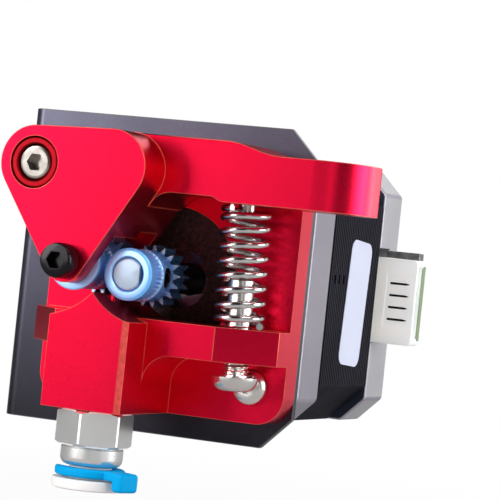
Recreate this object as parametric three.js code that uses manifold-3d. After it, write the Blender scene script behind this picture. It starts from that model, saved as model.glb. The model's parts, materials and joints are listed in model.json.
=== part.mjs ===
// Dual-gear filament extruder on a size 17 stepper motor, with its L-shaped mounting bracket.
//
// Lengths are in millimetres. The working frame has its origin where the shaft axis meets the
// motor's front mounting face: +X right, +Z up and -Y out of the gear side. The finished assembly
// is shifted along Y so that its origin is the centre of the motor's flat rear face.

import * as THREE from "three";
import { mergeVertices } from "three/addons/utils/BufferGeometryUtils.js";
import Module from "manifold-3d";

const wasm = await Module();
wasm.setup();

// ---------------------------------------------------------------- driving dimensions

// Stepper motor, size 17
const MOTOR_SIDE = 42.3;
const MOTOR_LENGTH = 39.5;
const HALF_SIDE = MOTOR_SIDE / 2;
const HOLE_OFFSET = 15.5;
const FRONT_CAP_LENGTH = 9;
const REAR_CAP_LENGTH = 8.5;
const CAP_CHAMFER = 4;
const STATOR_CHAMFER = 6.2;
const PILOT_RADIUS = 11;
const PILOT_HEIGHT = 2;
const SHAFT_RADIUS = 2.5;
const SHAFT_FLAT = 2;
const SHAFT_FLAT_LENGTH = 15;
const SHAFT_FRONT_Y = -21.4;
const SHAFT_RECESS_RADIUS = 4.8;
const EDGE_BREAK = 0.3;
const BEARING_RADIUS = 8;
const BEARING_WIDTH = 5;
const FRONT_BEARING_Y = 2.1;
const REAR_BEARING_Y = 32.6;
const ROTOR_RADIUS = 12.8;
const POLE_RADIUS = 13.2;
const YOKE_RADIUS = 18;
const COIL_ROOM_RADIUS = 18.2;
const POLE_COUNT = 8;
const POLE_HALF_WIDTH = 2.5;
const WASHER_THICKNESS = 0.75;
const CASE_SCREW_RECESS = 2.5;
const LABEL = { y: 21.4, z: -1.3, width: 9.4, height: 20.4, radius: 1.8, thickness: 0.1 };
const LABEL_TILT = THREE.MathUtils.degToRad(4);

// Sheet bracket and extruder base plate, stacked on the motor face
const BRACKET_THICKNESS = 1.2;
const BRACKET_HALF_HEIGHT = 25.05;
const BRACKET_LEFT_X = -29.5;
const FLANGE_END_Y = 48.8;
const BEND_INNER_RADIUS = 1;
const PLATE_CHAMFER = 5;
const FLANGE_SLOT_ROWS = [14, 36];
const FLANGE_SLOT_RADIUS = 2.25;
const FLANGE_SLOT_TRAVEL = 4;
const PLATE_THICKNESS = 4.4;
const PLATE_FRONT_Y = -BRACKET_THICKNESS - PLATE_THICKNESS;
const PLATE_TOP_Z = 19.4;
const PLATE_CORNER_RADIUS = 4.5;
const WINDOW_RADIUS = 11.25;

// Filament block and spring ledge on the base
const BLOCK_FRONT_Y = -23.7;
const BLOCK_LEFT_X = -11.2;
const BLOCK_RIGHT_X = 1.9;
const BLOCK_SHOULDER_Z = -7.15;
const CROWN_Z = -3.2;
const CROWN_X = -4.35;
const CROWN_HOLLOW = 2;
const BLOCK_EDGE = 0.7;
const LEDGE_TOP_Z = -6.5;
const LEDGE_BOTTOM_Z = -11.8;
const LEDGE_FRONT_Y = -16.5;
const LEDGE_LEFT_X = -20.6;
const LEDGE_LEFT_SLANT_X = -14;
const LEDGE_SLANT_X = 13.2;
const LEDGE_END_Y = -9.9;
const LEDGE_FILLET = 4.5;

// Gear pair: equal gears, the idler sits a little above the shaft when the lever is closed
const IDLER_X = -8.75;
const IDLER_Z = 1.05;
const GEAR_TEETH = 17;
const TIP_RADIUS = 4.85;
const ROOT_RADIUS = 3.75;
const TIP_HALF_WIDTH = 0.09;
const ROOT_HALF_WIDTH = 0.47;
const GEAR_BODY_RADIUS = 4;
const IDLER_BORE_RADIUS = 2.75;
const GEAR_LENGTH = 12.6;
const TOOTH_FRONT = 8.5;
const HOB_CENTRE = 3.3;
const HOB_HALF_WIDTH = 1.3;
const HOB_DEPTH = 0.35;
const SET_SCREW_AT = 6.5;

// Idler lever
const PIVOT_X = -HOLE_OFFSET;
const PIVOT_Z = HOLE_OFFSET;
const EAR_FRONT_Y = -25.7;
const LEVER_BACK_Y = PLATE_FRONT_Y - 0.35;
const ARM_FRONT_Y = -18.5;
const BRIDGE_BACK_Y = -16;
const POCKET_FRONT_Y = -22.45;
const POCKET_BACK_Y = -7.8;
const POCKET_STEP_Y = -14.1;
const POCKET_TOP_Z = 5.45;
const POCKET_TOP_AT_TEETH_Z = 6.6;
const ARM_TOP_Z = 21.6;
const ARM_BOTTOM_Z = 12.3;
const ARM_UNDERSIDE_RISE = 0.7;
const ARM_ROOT_Z = 10.6;
const HANDLE_TOP_Z = 19.9;
const HANDLE_BEND_START_X = 12.5;
const HANDLE_BEND_END_X = 22;
const HANDLE_CORNER_X = 27;
const HANDLE_CORNER_Y = -10.8;
const HANDLE_BACK_RADIUS = 2.45;
const HANDLE_END_X = 34.2;
const PIVOT_BORE_RADIUS = 4;
const EAR_RADIUS = 5.7;
const EAR_TIP_RADIUS = 3.25;
const EAR_RIGHT_X = -2.55;
const LEVER_OPEN_ANGLE = THREE.MathUtils.degToRad(8);

// Spring and its screw, on one axis that crosses the middle of the ledge and leans to the left
const SPRING_X = 15.05;
const SPRING_Y = -11.6;
const SPRING_LEAN = THREE.MathUtils.degToRad(2);
const LEDGE_MIDDLE_Z = (LEDGE_TOP_Z + LEDGE_BOTTOM_Z) / 2;
const SPRING_COIL_RADIUS = 3.5;
const SPRING_WIRE_RADIUS = 0.5;
const SPRING_TURNS = 8.7;
const SPRING_END_PITCH = 1.2;
const TENSION_SCREW_TIP_Z = 1.2;
const TENSION_SCREW_SEAT_Z = -13.9;
const TENSION_SCREW_HEAD_Z = -16.1;
const TENSION_HEAD_RADIUS = 3.6;
const TENSION_SHANK_RADIUS = 2.05;
const LOCATING_PIN_RADIUS = 1.3;

// Filament path and the tube fitting below the block
const FILAMENT_X = IDLER_X / 2;
const FILAMENT_Y = SHAFT_FRONT_Y + HOB_CENTRE;
const BLOCK_BOTTOM_Z = -HALF_SIDE;
const FILAMENT_BORE_RADIUS = 1.1;
const FITTING_HEX_ACROSS_FLATS = 10.4;
const FITTING_HEX_ANGLE = THREE.MathUtils.degToRad(33);
const FITTING_HEX_BOTTOM_Z = -26.7;
const FITTING_BOTTOM_Z = -29.8;
const FITTING_STEM_RADIUS = 2.9;
const FITTING_STEM_TOP_Z = -15.2;
const FITTING_COLLAR_RADIUS = 4.8;
const FITTING_SOCKET_RADIUS = 3.75;
const FITTING_SOCKET_TOP_Z = -23.3;
const SEAL_Z = [-24.4, -23.4];
const GRIP_RING_Z = [-25.3, -24.9];
const CLIP_TOP_Z = -30;
const CLIP_BOTTOM_Z = -31.3;
const CLIP_ANGLE = THREE.MathUtils.degToRad(-20);
const CLIP_OUTER_RADIUS = 5.4;
const CLIP_HALF_SLOT = 3.55;
const CLIP_HANDLE = { inner: 6.6, outer: 8.85, halfWidth: 1.95, drop: 1.6 };
const COLLET_FLANGE_TOP_Z = -31.7;
const COLLET_BOTTOM_Z = -33.3;
const COLLET_BORE_RADIUS = 2.1;
const COLLET_SLEEVE_RADIUS = 3.3;
const COLLET_SLEEVE_TOP_Z = -25.5;
const COLLET_FLANGE_RADIUS = 5.75;

// M3 fasteners
const M3_RADIUS = 1.5;
const M3_HOLE_RADIUS = 1.7;
const M3_CAP_HEAD_RADIUS = 2.7;
const M3_CAP_HEAD_HEIGHT = 3;
const M3_SOCKET_ACROSS_FLATS = 2.5;
const M3_BUTTON_HEAD_RADIUS = 2.85;
const M3_BUTTON_HEAD_HEIGHT = 1.65;
const M3_BUTTON_SOCKET = 2;
const M3_SUNK_HEAD_RADIUS = 2.8;
const M3_SUNK_HEAD_HEIGHT = 1.7;
const THREAD_DEPTH_IN_MOTOR = 4;

// Wire connector on the side of the motor
const CONNECTOR_Z = -0.4;
const CONNECTOR_HEIGHT = 14.3;
const CONNECTOR_FRONT_Y = 31.2;
const CONNECTOR_DEPTH = 4.2;
const CONNECTOR_ROOT_X = 18.5;
const CONNECTOR_FLOOR_X = 20.6;
const CONNECTOR_END_X = 28;
const CONNECTOR_WALL = 0.8;
const CONNECTOR_SLIT_X = [23.4, 27];
const CONNECTOR_PIN_PITCH = 2;
const CONNECTOR_PIN_COUNT = 4;

// Facets
const ROUND = 28;
const SMALL_ROUND = 16;
const HIDDEN_ROUND = 24;
const HOLE_ROUND = 12;
const GAP = 0.15;

// ---------------------------------------------------------------- solids

function closedGeometry(geometry) {
  geometry.deleteAttribute("normal");
  geometry.deleteAttribute("uv");
  const merged = mergeVertices(geometry, 1e-4);
  const position = merged.getAttribute("position").array;
  const index = merged.getIndex().array;
  const kept = [];
  for (let i = 0; i < index.length; i += 3) {
    const [a, b, c] = [index[i], index[i + 1], index[i + 2]];
    if (a !== b && b !== c && c !== a) kept.push(a, b, c);
  }
  if (signedVolume(position, kept) < 0) {
    for (let i = 0; i < kept.length; i += 3) {
      [kept[i + 1], kept[i + 2]] = [kept[i + 2], kept[i + 1]];
    }
  }
  return { position, kept };
}

function signedVolume(position, index) {
  const [a, b, c] = [new THREE.Vector3(), new THREE.Vector3(), new THREE.Vector3()];
  let volume = 0;
  for (let i = 0; i < index.length; i += 3) {
    a.fromArray(position, 3 * index[i]);
    b.fromArray(position, 3 * index[i + 1]);
    c.fromArray(position, 3 * index[i + 2]);
    volume += a.dot(b.cross(c)) / 6;
  }
  return volume;
}

function solid(geometry) {
  const { position, kept } = closedGeometry(geometry);
  const mesh = new wasm.Mesh({
    numProp: 3,
    vertProperties: new Float32Array(position),
    triVerts: new Uint32Array(kept),
  });
  return new wasm.Manifold(mesh);
}

const join = (...parts) => parts.reduce((whole, part) => whole.add(part));
const cut = (whole, ...tools) => tools.reduce((rest, tool) => rest.subtract(tool), whole);

function geometryOf(manifold) {
  const mesh = manifold.getMesh();
  const geometry = new THREE.BufferGeometry();
  const position = new Float32Array(mesh.vertProperties);
  geometry.setAttribute("position", new THREE.BufferAttribute(position, 3));
  geometry.setIndex(new THREE.BufferAttribute(new Uint32Array(mesh.triVerts), 1));
  return geometry;
}

// A shape drawn in X and Z, extruded along Y.
function prismY(shape, yFront, yBack, curveSegments = 8) {
  const depth = yBack - yFront;
  const geometry = new THREE.ExtrudeGeometry(shape, { depth, bevelEnabled: false, curveSegments });
  return solid(geometry.rotateX(Math.PI / 2).translate(0, yBack, 0));
}

// A shape drawn in X and Y, extruded along Z.
function prismZ(shape, zLow, zHigh, curveSegments = 8) {
  const depth = zHigh - zLow;
  const geometry = new THREE.ExtrudeGeometry(shape, { depth, bevelEnabled: false, curveSegments });
  return solid(geometry.translate(0, 0, zLow));
}

function box(xLow, xHigh, yLow, yHigh, zLow, zHigh) {
  const geometry = new THREE.BoxGeometry(xHigh - xLow, yHigh - yLow, zHigh - zLow);
  const centre = [(xLow + xHigh) / 2, (yLow + yHigh) / 2, (zLow + zHigh) / 2];
  return solid(geometry.translate(...centre));
}

function rodY(x, z, radius, yLow, yHigh, facets = SMALL_ROUND) {
  const geometry = new THREE.CylinderGeometry(radius, radius, yHigh - yLow, facets);
  return solid(geometry.translate(x, (yLow + yHigh) / 2, z));
}

function rodZ(x, y, radius, zLow, zHigh, facets = SMALL_ROUND) {
  const geometry = new THREE.CylinderGeometry(radius, radius, zHigh - zLow, facets);
  return solid(geometry.rotateX(Math.PI / 2).translate(x, y, (zLow + zHigh) / 2));
}

function rodX(y, z, radius, xLow, xHigh, facets = SMALL_ROUND) {
  const geometry = new THREE.CylinderGeometry(radius, radius, xHigh - xLow, facets);
  return solid(geometry.rotateZ(Math.PI / 2).translate((xLow + xHigh) / 2, y, z));
}

// A turned solid about Y; the profile is a list of [radius, y] that starts and ends on the axis.
function turnedY(profile, facets = ROUND) {
  const points = profile.map(([radius, y]) => new THREE.Vector2(radius, y));
  return solid(new THREE.LatheGeometry(points, facets));
}

// A turned solid about a vertical axis through (x, y); the profile is a list of [radius, z].
function turnedZ(profile, x, y, facets = ROUND) {
  const points = profile.map(([radius, z]) => new THREE.Vector2(radius, -z));
  return solid(new THREE.LatheGeometry(points, facets).rotateX(-Math.PI / 2).translate(x, y, 0));
}

function ringY(inner, outer, yLow, yHigh, facets = ROUND) {
  return cut(rodY(0, 0, outer, yLow, yHigh, facets), rodY(0, 0, inner, yLow - 1, yHigh + 1, facets));
}

function polygon(points) {
  return new THREE.Shape(points.map(([u, v]) => new THREE.Vector2(u, v)));
}

function chamferedSquare(half, chamfer) {
  const c = half - chamfer;
  return polygon([
    [-c, -half], [c, -half], [half, -c], [half, c],
    [c, half], [-c, half], [-half, c], [-half, -c],
  ]);
}

function roundedRectangle(xLow, xHigh, zLow, zHigh, radius) {
  const shape = new THREE.Shape();
  shape.absarc(xHigh - radius, zLow + radius, radius, -Math.PI / 2, 0);
  shape.absarc(xHigh - radius, zHigh - radius, radius, 0, Math.PI / 2);
  shape.absarc(xLow + radius, zHigh - radius, radius, Math.PI / 2, Math.PI);
  shape.absarc(xLow + radius, zLow + radius, radius, Math.PI, 1.5 * Math.PI);
  return shape;
}

// The outline around circles [x, z, radius] that are listed counter-clockwise.
function outlineAround(circles) {
  const normals = circles.map(([x, z, radius], i) => {
    const [nextX, nextZ, nextRadius] = circles[(i + 1) % circles.length];
    const distance = Math.hypot(nextX - x, nextZ - z);
    const heading = Math.atan2(nextZ - z, nextX - x);
    return heading - Math.PI / 2 + Math.asin((radius - nextRadius) / distance);
  });
  const shape = new THREE.Shape();
  circles.forEach(([x, z, radius], i) => {
    const start = normals[(i + circles.length - 1) % circles.length];
    let end = normals[i];
    while (end < start) end += 2 * Math.PI;
    shape.absarc(x, z, radius, start, end);
  });
  return shape;
}

function hexagon(acrossFlats, angle = 0) {
  const radius = acrossFlats / Math.sqrt(3);
  const corners = [];
  for (let i = 0; i < 6; i++) {
    const turn = angle + (i * Math.PI) / 3;
    corners.push([radius * Math.cos(turn), radius * Math.sin(turn)]);
  }
  return polygon(corners);
}

// ---------------------------------------------------------------- fasteners

// A socket screw along Y whose head's seat is at y = 0 and whose shank runs to +Y.
function socketScrew({ headRadius, headHeight, socket, shankRadius, length, domed }) {
  const edge = domed ? headRadius * 0.55 : headRadius - 0.25;
  const shoulder = domed ? -headHeight * 0.35 : -headHeight + 0.25;
  const body = turnedY([
    [0, -headHeight], [edge, -headHeight], [headRadius, shoulder], [headRadius, 0],
    [shankRadius, 0], [shankRadius, length - 0.4], [shankRadius - 0.4, length], [0, length],
  ], SMALL_ROUND);
  const socketDepth = headHeight * 0.6;
  return cut(body, prismY(hexagon(socket), -headHeight - 1, -headHeight + socketDepth));
}

const capScrew = (length) => socketScrew({
  headRadius: M3_CAP_HEAD_RADIUS,
  headHeight: M3_CAP_HEAD_HEIGHT,
  socket: M3_SOCKET_ACROSS_FLATS,
  shankRadius: M3_RADIUS,
  length,
  domed: false,
});

const buttonScrew = (length) => socketScrew({
  headRadius: M3_BUTTON_HEAD_RADIUS,
  headHeight: M3_BUTTON_HEAD_HEIGHT,
  socket: M3_BUTTON_SOCKET,
  shankRadius: M3_RADIUS,
  length,
  domed: true,
});

function countersunkScrew(length) {
  const body = turnedY([
    [0, 0], [M3_SUNK_HEAD_RADIUS, 0], [M3_SUNK_HEAD_RADIUS, 0.3],
    [M3_RADIUS, M3_SUNK_HEAD_HEIGHT], [M3_RADIUS, length - 0.4],
    [M3_RADIUS - 0.4, length], [0, length],
  ], SMALL_ROUND);
  return cut(body, prismY(hexagon(M3_BUTTON_SOCKET), -1, 1));
}

function motorCaseScrew() {
  const headHeight = 2;
  const length = 31;
  const [shankRadius, headRadius, crownRadius] = [1.4, 2.6, 1.9];
  const body = turnedY([
    [0, -length], [shankRadius, -length], [shankRadius, 0], [headRadius, 0],
    [headRadius, headHeight * 0.6], [crownRadius, headHeight], [0, headHeight],
  ], SMALL_ROUND);
  const slotHalfWidth = 0.3;
  const slotLength = 1.6;
  const slotFloor = headHeight - 1;
  return cut(
    body,
    box(-slotLength, slotLength, slotFloor, headHeight + 1, -slotHalfWidth, slotHalfWidth),
    box(-slotHalfWidth, slotHalfWidth, slotFloor, headHeight + 1, -slotLength, slotLength),
  );
}

// ---------------------------------------------------------------- bracket

function mountingBracket() {
  const innerX = BRACKET_LEFT_X + BRACKET_THICKNESS;
  const outerRadius = BEND_INNER_RADIUS + BRACKET_THICKNESS;
  const bendX = innerX + BEND_INNER_RADIUS;
  const profile = new THREE.Shape();
  profile.moveTo(HALF_SIDE, -BRACKET_THICKNESS);
  profile.lineTo(HALF_SIDE, 0);
  profile.lineTo(bendX, 0);
  profile.absarc(bendX, BEND_INNER_RADIUS, BEND_INNER_RADIUS, 1.5 * Math.PI, Math.PI, true);
  profile.lineTo(innerX, FLANGE_END_Y);
  profile.lineTo(BRACKET_LEFT_X, FLANGE_END_Y);
  profile.absarc(bendX, BEND_INNER_RADIUS, outerRadius, Math.PI, 1.5 * Math.PI);
  const sheet = prismZ(profile, -BRACKET_HALF_HEIGHT, BRACKET_HALF_HEIGHT, 6);

  const cuts = [rodY(0, 0, WINDOW_RADIUS, -2, 1, ROUND)];
  for (const side of [-1, 1]) {
    const edge = side * BRACKET_HALF_HEIGHT;
    const inset = side * (BRACKET_HALF_HEIGHT - PLATE_CHAMFER);
    const plateCorner = [
      [HALF_SIDE - PLATE_CHAMFER, edge], [HALF_SIDE, inset], [HALF_SIDE + 1, inset],
      [HALF_SIDE + 1, edge + side], [HALF_SIDE - PLATE_CHAMFER, edge + side],
    ];
    cuts.push(prismY(polygon(plateCorner), -3, 3));
    cuts.push(flangeCorner(side));
    for (const x of [-HOLE_OFFSET, HOLE_OFFSET]) {
      cuts.push(rodY(x, side * HOLE_OFFSET, M3_HOLE_RADIUS, -3, 3));
    }
    for (const y of FLANGE_SLOT_ROWS) cuts.push(flangeSlot(y, side * HOLE_OFFSET));
  }
  return cut(sheet, ...cuts);
}

function flangeCorner(side) {
  const edge = side * (BRACKET_HALF_HEIGHT + 1);
  const inset = side * (BRACKET_HALF_HEIGHT - PLATE_CHAMFER);
  const outer = FLANGE_END_Y + 1;
  const corner = [[FLANGE_END_Y - PLATE_CHAMFER - 1, edge], [outer, inset - side], [outer, edge]];
  const depth = 4;
  const geometry = new THREE.ExtrudeGeometry(polygon(corner), { depth, bevelEnabled: false });
  geometry.rotateX(Math.PI / 2).rotateZ(Math.PI / 2);
  return solid(geometry.translate(BRACKET_LEFT_X + depth - 1, 0, 0));
}

function flangeSlot(y, z) {
  const radius = FLANGE_SLOT_RADIUS;
  const [yLow, yHigh] = [y - FLANGE_SLOT_TRAVEL, y + FLANGE_SLOT_TRAVEL];
  const [xLow, xHigh] = [BRACKET_LEFT_X - 1, BRACKET_LEFT_X + 3];
  return join(
    rodX(yLow, z, radius, xLow, xHigh),
    rodX(yHigh, z, radius, xLow, xHigh),
    box(xLow, xHigh, yLow, yHigh, z - radius, z + radius),
  );
}

// ---------------------------------------------------------------- motor

const cornerHoles = [[1, 1], [-1, 1], [-1, -1], [1, -1]].map(([sx, sz]) => (
  { x: sx * HOLE_OFFSET, z: sz * HOLE_OFFSET }
));

function motorFrontCap() {
  const shell = join(
    prismY(chamferedSquare(HALF_SIDE, CAP_CHAMFER), 0, FRONT_CAP_LENGTH),
    rodY(0, 0, PILOT_RADIUS, -PILOT_HEIGHT, 1, ROUND),
  );
  const threads = cornerHoles.flatMap(({ x, z }) => [
    rodY(x, z, M3_HOLE_RADIUS, -1, THREAD_DEPTH_IN_MOTOR + 0.5, HOLE_ROUND),
    rodY(x, z, M3_HOLE_RADIUS, FRONT_CAP_LENGTH - 3.4, FRONT_CAP_LENGTH + 1, HOLE_ROUND),
  ]);
  return cut(
    shell,
    rodY(0, 0, SHAFT_RECESS_RADIUS, -PILOT_HEIGHT - 1, FRONT_BEARING_Y, ROUND),
    rodY(0, 0, BEARING_RADIUS + GAP, FRONT_BEARING_Y - GAP, FRONT_CAP_LENGTH + 1, ROUND),
    rodY(0, 0, COIL_ROOM_RADIUS, 5.2, FRONT_CAP_LENGTH + 1, ROUND),
    ...threads,
  );
}

function motorStator() {
  const [yFront, yBack] = [FRONT_CAP_LENGTH, MOTOR_LENGTH - REAR_CAP_LENGTH];
  const yoke = cut(
    prismY(chamferedSquare(HALF_SIDE, STATOR_CHAMFER), yFront, yBack),
    rodY(0, 0, YOKE_RADIUS, yFront - 1, yBack + 1, ROUND),
    ...cornerHoles.map(({ x, z }) => rodY(x, z, M3_HOLE_RADIUS, yFront - 1, yBack + 1, HOLE_ROUND)),
  );
  const poles = [];
  for (let i = 0; i < POLE_COUNT; i++) {
    const pole = new THREE.BoxGeometry(YOKE_RADIUS - 11, yBack - yFront, 2 * POLE_HALF_WIDTH);
    pole.translate((YOKE_RADIUS + 13) / 2, (yFront + yBack) / 2, 0);
    poles.push(solid(pole.rotateY((i * 2 * Math.PI) / POLE_COUNT)));
  }
  return cut(join(yoke, ...poles), rodY(0, 0, POLE_RADIUS, yFront - 1, yBack + 1, ROUND));
}

function motorCoil(i) {
  const [yFront, yBack] = [FRONT_CAP_LENGTH, MOTOR_LENGTH - REAR_CAP_LENGTH];
  const clearance = 0.25;
  const endTurn = 1.6;
  const [rLow, rHigh] = [14.6, 16.9];
  const inner = POLE_HALF_WIDTH + clearance;
  const outer = inner + 1.5;
  const coil = cut(
    box(rLow, rHigh, yFront - endTurn, yBack + endTurn, -outer, outer),
    box(rLow - 1, rHigh + 1, yFront - clearance, yBack + clearance, -inner, inner),
  );
  const geometry = geometryOf(coil);
  return solid(geometry.rotateY((i * 2 * Math.PI) / POLE_COUNT));
}

function motorRearCap() {
  const yFront = MOTOR_LENGTH - REAR_CAP_LENGTH;
  const block = prismY(chamferedSquare(HALF_SIDE, CAP_CHAMFER), yFront, MOTOR_LENGTH);
  const bearingPocketEnd = REAR_BEARING_Y + BEARING_WIDTH + 0.8;
  const connectorNotch = box(
    16, HALF_SIDE + 1, yFront - 1, CONNECTOR_FRONT_Y + CONNECTOR_DEPTH + GAP,
    CONNECTOR_Z - CONNECTOR_HEIGHT / 2 - GAP, CONNECTOR_Z + CONNECTOR_HEIGHT / 2 + 1.5,
  );
  const screwHoles = cornerHoles.flatMap(({ x, z }) => [
    rodY(x, z, M3_HOLE_RADIUS, yFront - 1, MOTOR_LENGTH + 1, HOLE_ROUND),
    rodY(x, z, 2.9, MOTOR_LENGTH - CASE_SCREW_RECESS, MOTOR_LENGTH + 1),
  ]);
  return cut(
    block,
    rodY(0, 0, COIL_ROOM_RADIUS, yFront - 1, yFront + 3.5, ROUND),
    rodY(0, 0, BEARING_RADIUS + GAP, yFront - 1, bearingPocketEnd, ROUND),
    connectorNotch,
    ...screwHoles,
  );
}

function motorLabel() {
  const [halfWidth, halfHeight] = [LABEL.width / 2, LABEL.height / 2];
  const label = new THREE.ExtrudeGeometry(
    roundedRectangle(-halfWidth, halfWidth, -halfHeight, halfHeight, LABEL.radius),
    { depth: LABEL.thickness, bevelEnabled: false, curveSegments: 5 },
  );
  label.rotateX(Math.PI / 2).rotateZ(Math.PI / 2).rotateX(-LABEL_TILT);
  return solid(label.translate(HALF_SIDE + 0.05, LABEL.y, LABEL.z));
}

function motorShaft() {
  const end = REAR_BEARING_Y + BEARING_WIDTH;
  const endRadius = SHAFT_RADIUS - EDGE_BREAK;
  const shaft = turnedY([
    [0, SHAFT_FRONT_Y], [endRadius, SHAFT_FRONT_Y], [SHAFT_RADIUS, SHAFT_FRONT_Y + EDGE_BREAK],
    [SHAFT_RADIUS, end - EDGE_BREAK], [endRadius, end], [0, end],
  ], SMALL_ROUND);
  const flatEnd = SHAFT_FRONT_Y + SHAFT_FLAT_LENGTH;
  return cut(shaft, box(SHAFT_FLAT, 4, SHAFT_FRONT_Y - 1, flatEnd, -4, 4));
}

// ---------------------------------------------------------------- connector

const connectorPinZ = (i) => (
  CONNECTOR_Z + (i - (CONNECTOR_PIN_COUNT - 1) / 2) * CONNECTOR_PIN_PITCH
);

function connectorHousing() {
  const half = CONNECTOR_HEIGHT / 2;
  const yBack = CONNECTOR_FRONT_Y + CONNECTOR_DEPTH;
  const yPin = CONNECTOR_FRONT_Y + CONNECTOR_DEPTH / 2;
  const [low, high] = [CONNECTOR_Z - half, CONNECTOR_Z + half];
  const latchDepth = 2.2;
  const latchHeight = 1.2;
  const endWall = 1.1;
  const shell = join(
    box(CONNECTOR_ROOT_X, CONNECTOR_END_X, CONNECTOR_FRONT_Y, yBack, low, high),
    box(HALF_SIDE + 0.4, CONNECTOR_END_X - 0.6, yBack - latchDepth, yBack, high - 1, high + latchHeight),
  );
  const cavity = box(
    CONNECTOR_FLOOR_X, CONNECTOR_END_X + 1, CONNECTOR_FRONT_Y + CONNECTOR_WALL,
    yBack - CONNECTOR_WALL, low + endWall, high - endWall,
  );
  const pinRoom = 0.45;
  const slitHalf = 0.18;
  const [slitStart, slitEnd] = CONNECTOR_SLIT_X;
  const openings = [cavity];
  for (let i = 0; i < CONNECTOR_PIN_COUNT; i++) {
    const z = connectorPinZ(i);
    openings.push(box(
      CONNECTOR_ROOT_X - 1, CONNECTOR_FLOOR_X + 1, yPin - pinRoom, yPin + pinRoom,
      z - pinRoom, z + pinRoom,
    ));
    openings.push(box(
      slitStart, slitEnd, CONNECTOR_FRONT_Y - 1, CONNECTOR_FRONT_Y + 1, z - slitHalf, z + slitHalf,
    ));
  }
  return cut(shell, ...openings);
}

function connectorPin(i) {
  const z = connectorPinZ(i);
  const y = CONNECTOR_FRONT_Y + CONNECTOR_DEPTH / 2;
  const half = 0.25;
  const [xLow, xHigh] = [CONNECTOR_ROOT_X + 0.3, CONNECTOR_END_X - 1.2];
  return box(xLow, xHigh, y - half, y + half, z - half, z + half);
}

// ---------------------------------------------------------------- extruder base

// The block rises between the gears to a crown whose two sides are hollow, to clear the hobs.
function blockOutline() {
  const controlZ = (CROWN_Z + BLOCK_SHOULDER_Z) / 2 - CROWN_HOLLOW / 2;
  const pull = 0.4 * CROWN_HOLLOW;
  const shape = new THREE.Shape();
  shape.moveTo(BLOCK_LEFT_X, BLOCK_BOTTOM_Z);
  shape.lineTo(BLOCK_RIGHT_X, BLOCK_BOTTOM_Z);
  shape.lineTo(BLOCK_RIGHT_X, BLOCK_SHOULDER_Z);
  shape.quadraticCurveTo((CROWN_X + BLOCK_RIGHT_X) / 2 - pull, controlZ, CROWN_X, CROWN_Z);
  shape.quadraticCurveTo(
    (CROWN_X + BLOCK_LEFT_X) / 2 + pull, controlZ, BLOCK_LEFT_X, BLOCK_SHOULDER_Z,
  );
  return shape;
}

function ledge() {
  const plan = polygon([
    [LEDGE_LEFT_SLANT_X, LEDGE_FRONT_Y], [LEDGE_SLANT_X, LEDGE_FRONT_Y], [HALF_SIDE, LEDGE_END_Y],
    [HALF_SIDE, PLATE_FRONT_Y + 1], [LEDGE_LEFT_X, PLATE_FRONT_Y + 1], [LEDGE_LEFT_X, LEDGE_END_Y],
  ]);
  return prismZ(plan, LEDGE_BOTTOM_Z, LEDGE_TOP_Z);
}

function ledgeFillet() {
  const shape = new THREE.Shape();
  const [x, z] = [BLOCK_RIGHT_X, LEDGE_BOTTOM_Z];
  shape.moveTo(x - 1, z + 1);
  shape.lineTo(x - 1, z - LEDGE_FILLET);
  shape.lineTo(x, z - LEDGE_FILLET);
  shape.absarc(x + LEDGE_FILLET, z - LEDGE_FILLET, LEDGE_FILLET, Math.PI, Math.PI / 2, true);
  shape.lineTo(x + LEDGE_FILLET, z + 1);
  return prismY(shape, LEDGE_FRONT_Y, PLATE_FRONT_Y + 1, 8);
}

// Room for the toothed part of both gears behind the hobs, with the lever closed and open.
function toothRoom() {
  const radius = TIP_RADIUS + 0.5;
  const [yFront, yBack] = [SHAFT_FRONT_Y + TOOTH_FRONT - 0.9, PLATE_FRONT_Y - 0.01];
  const [dx, dz] = [IDLER_X - PIVOT_X, IDLER_Z - PIVOT_Z];
  const [c, s] = [Math.cos(LEVER_OPEN_ANGLE), Math.sin(LEVER_OPEN_ANGLE)];
  const [openX, openZ] = [PIVOT_X + dx * c + dz * s, PIVOT_Z + dz * c - dx * s];
  return [
    rodY(0, 0, radius, yFront, yBack, ROUND),
    rodY(IDLER_X, IDLER_Z, radius, yFront, yBack, ROUND),
    rodY(openX, openZ, radius, yFront, yBack, ROUND),
  ];
}

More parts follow.
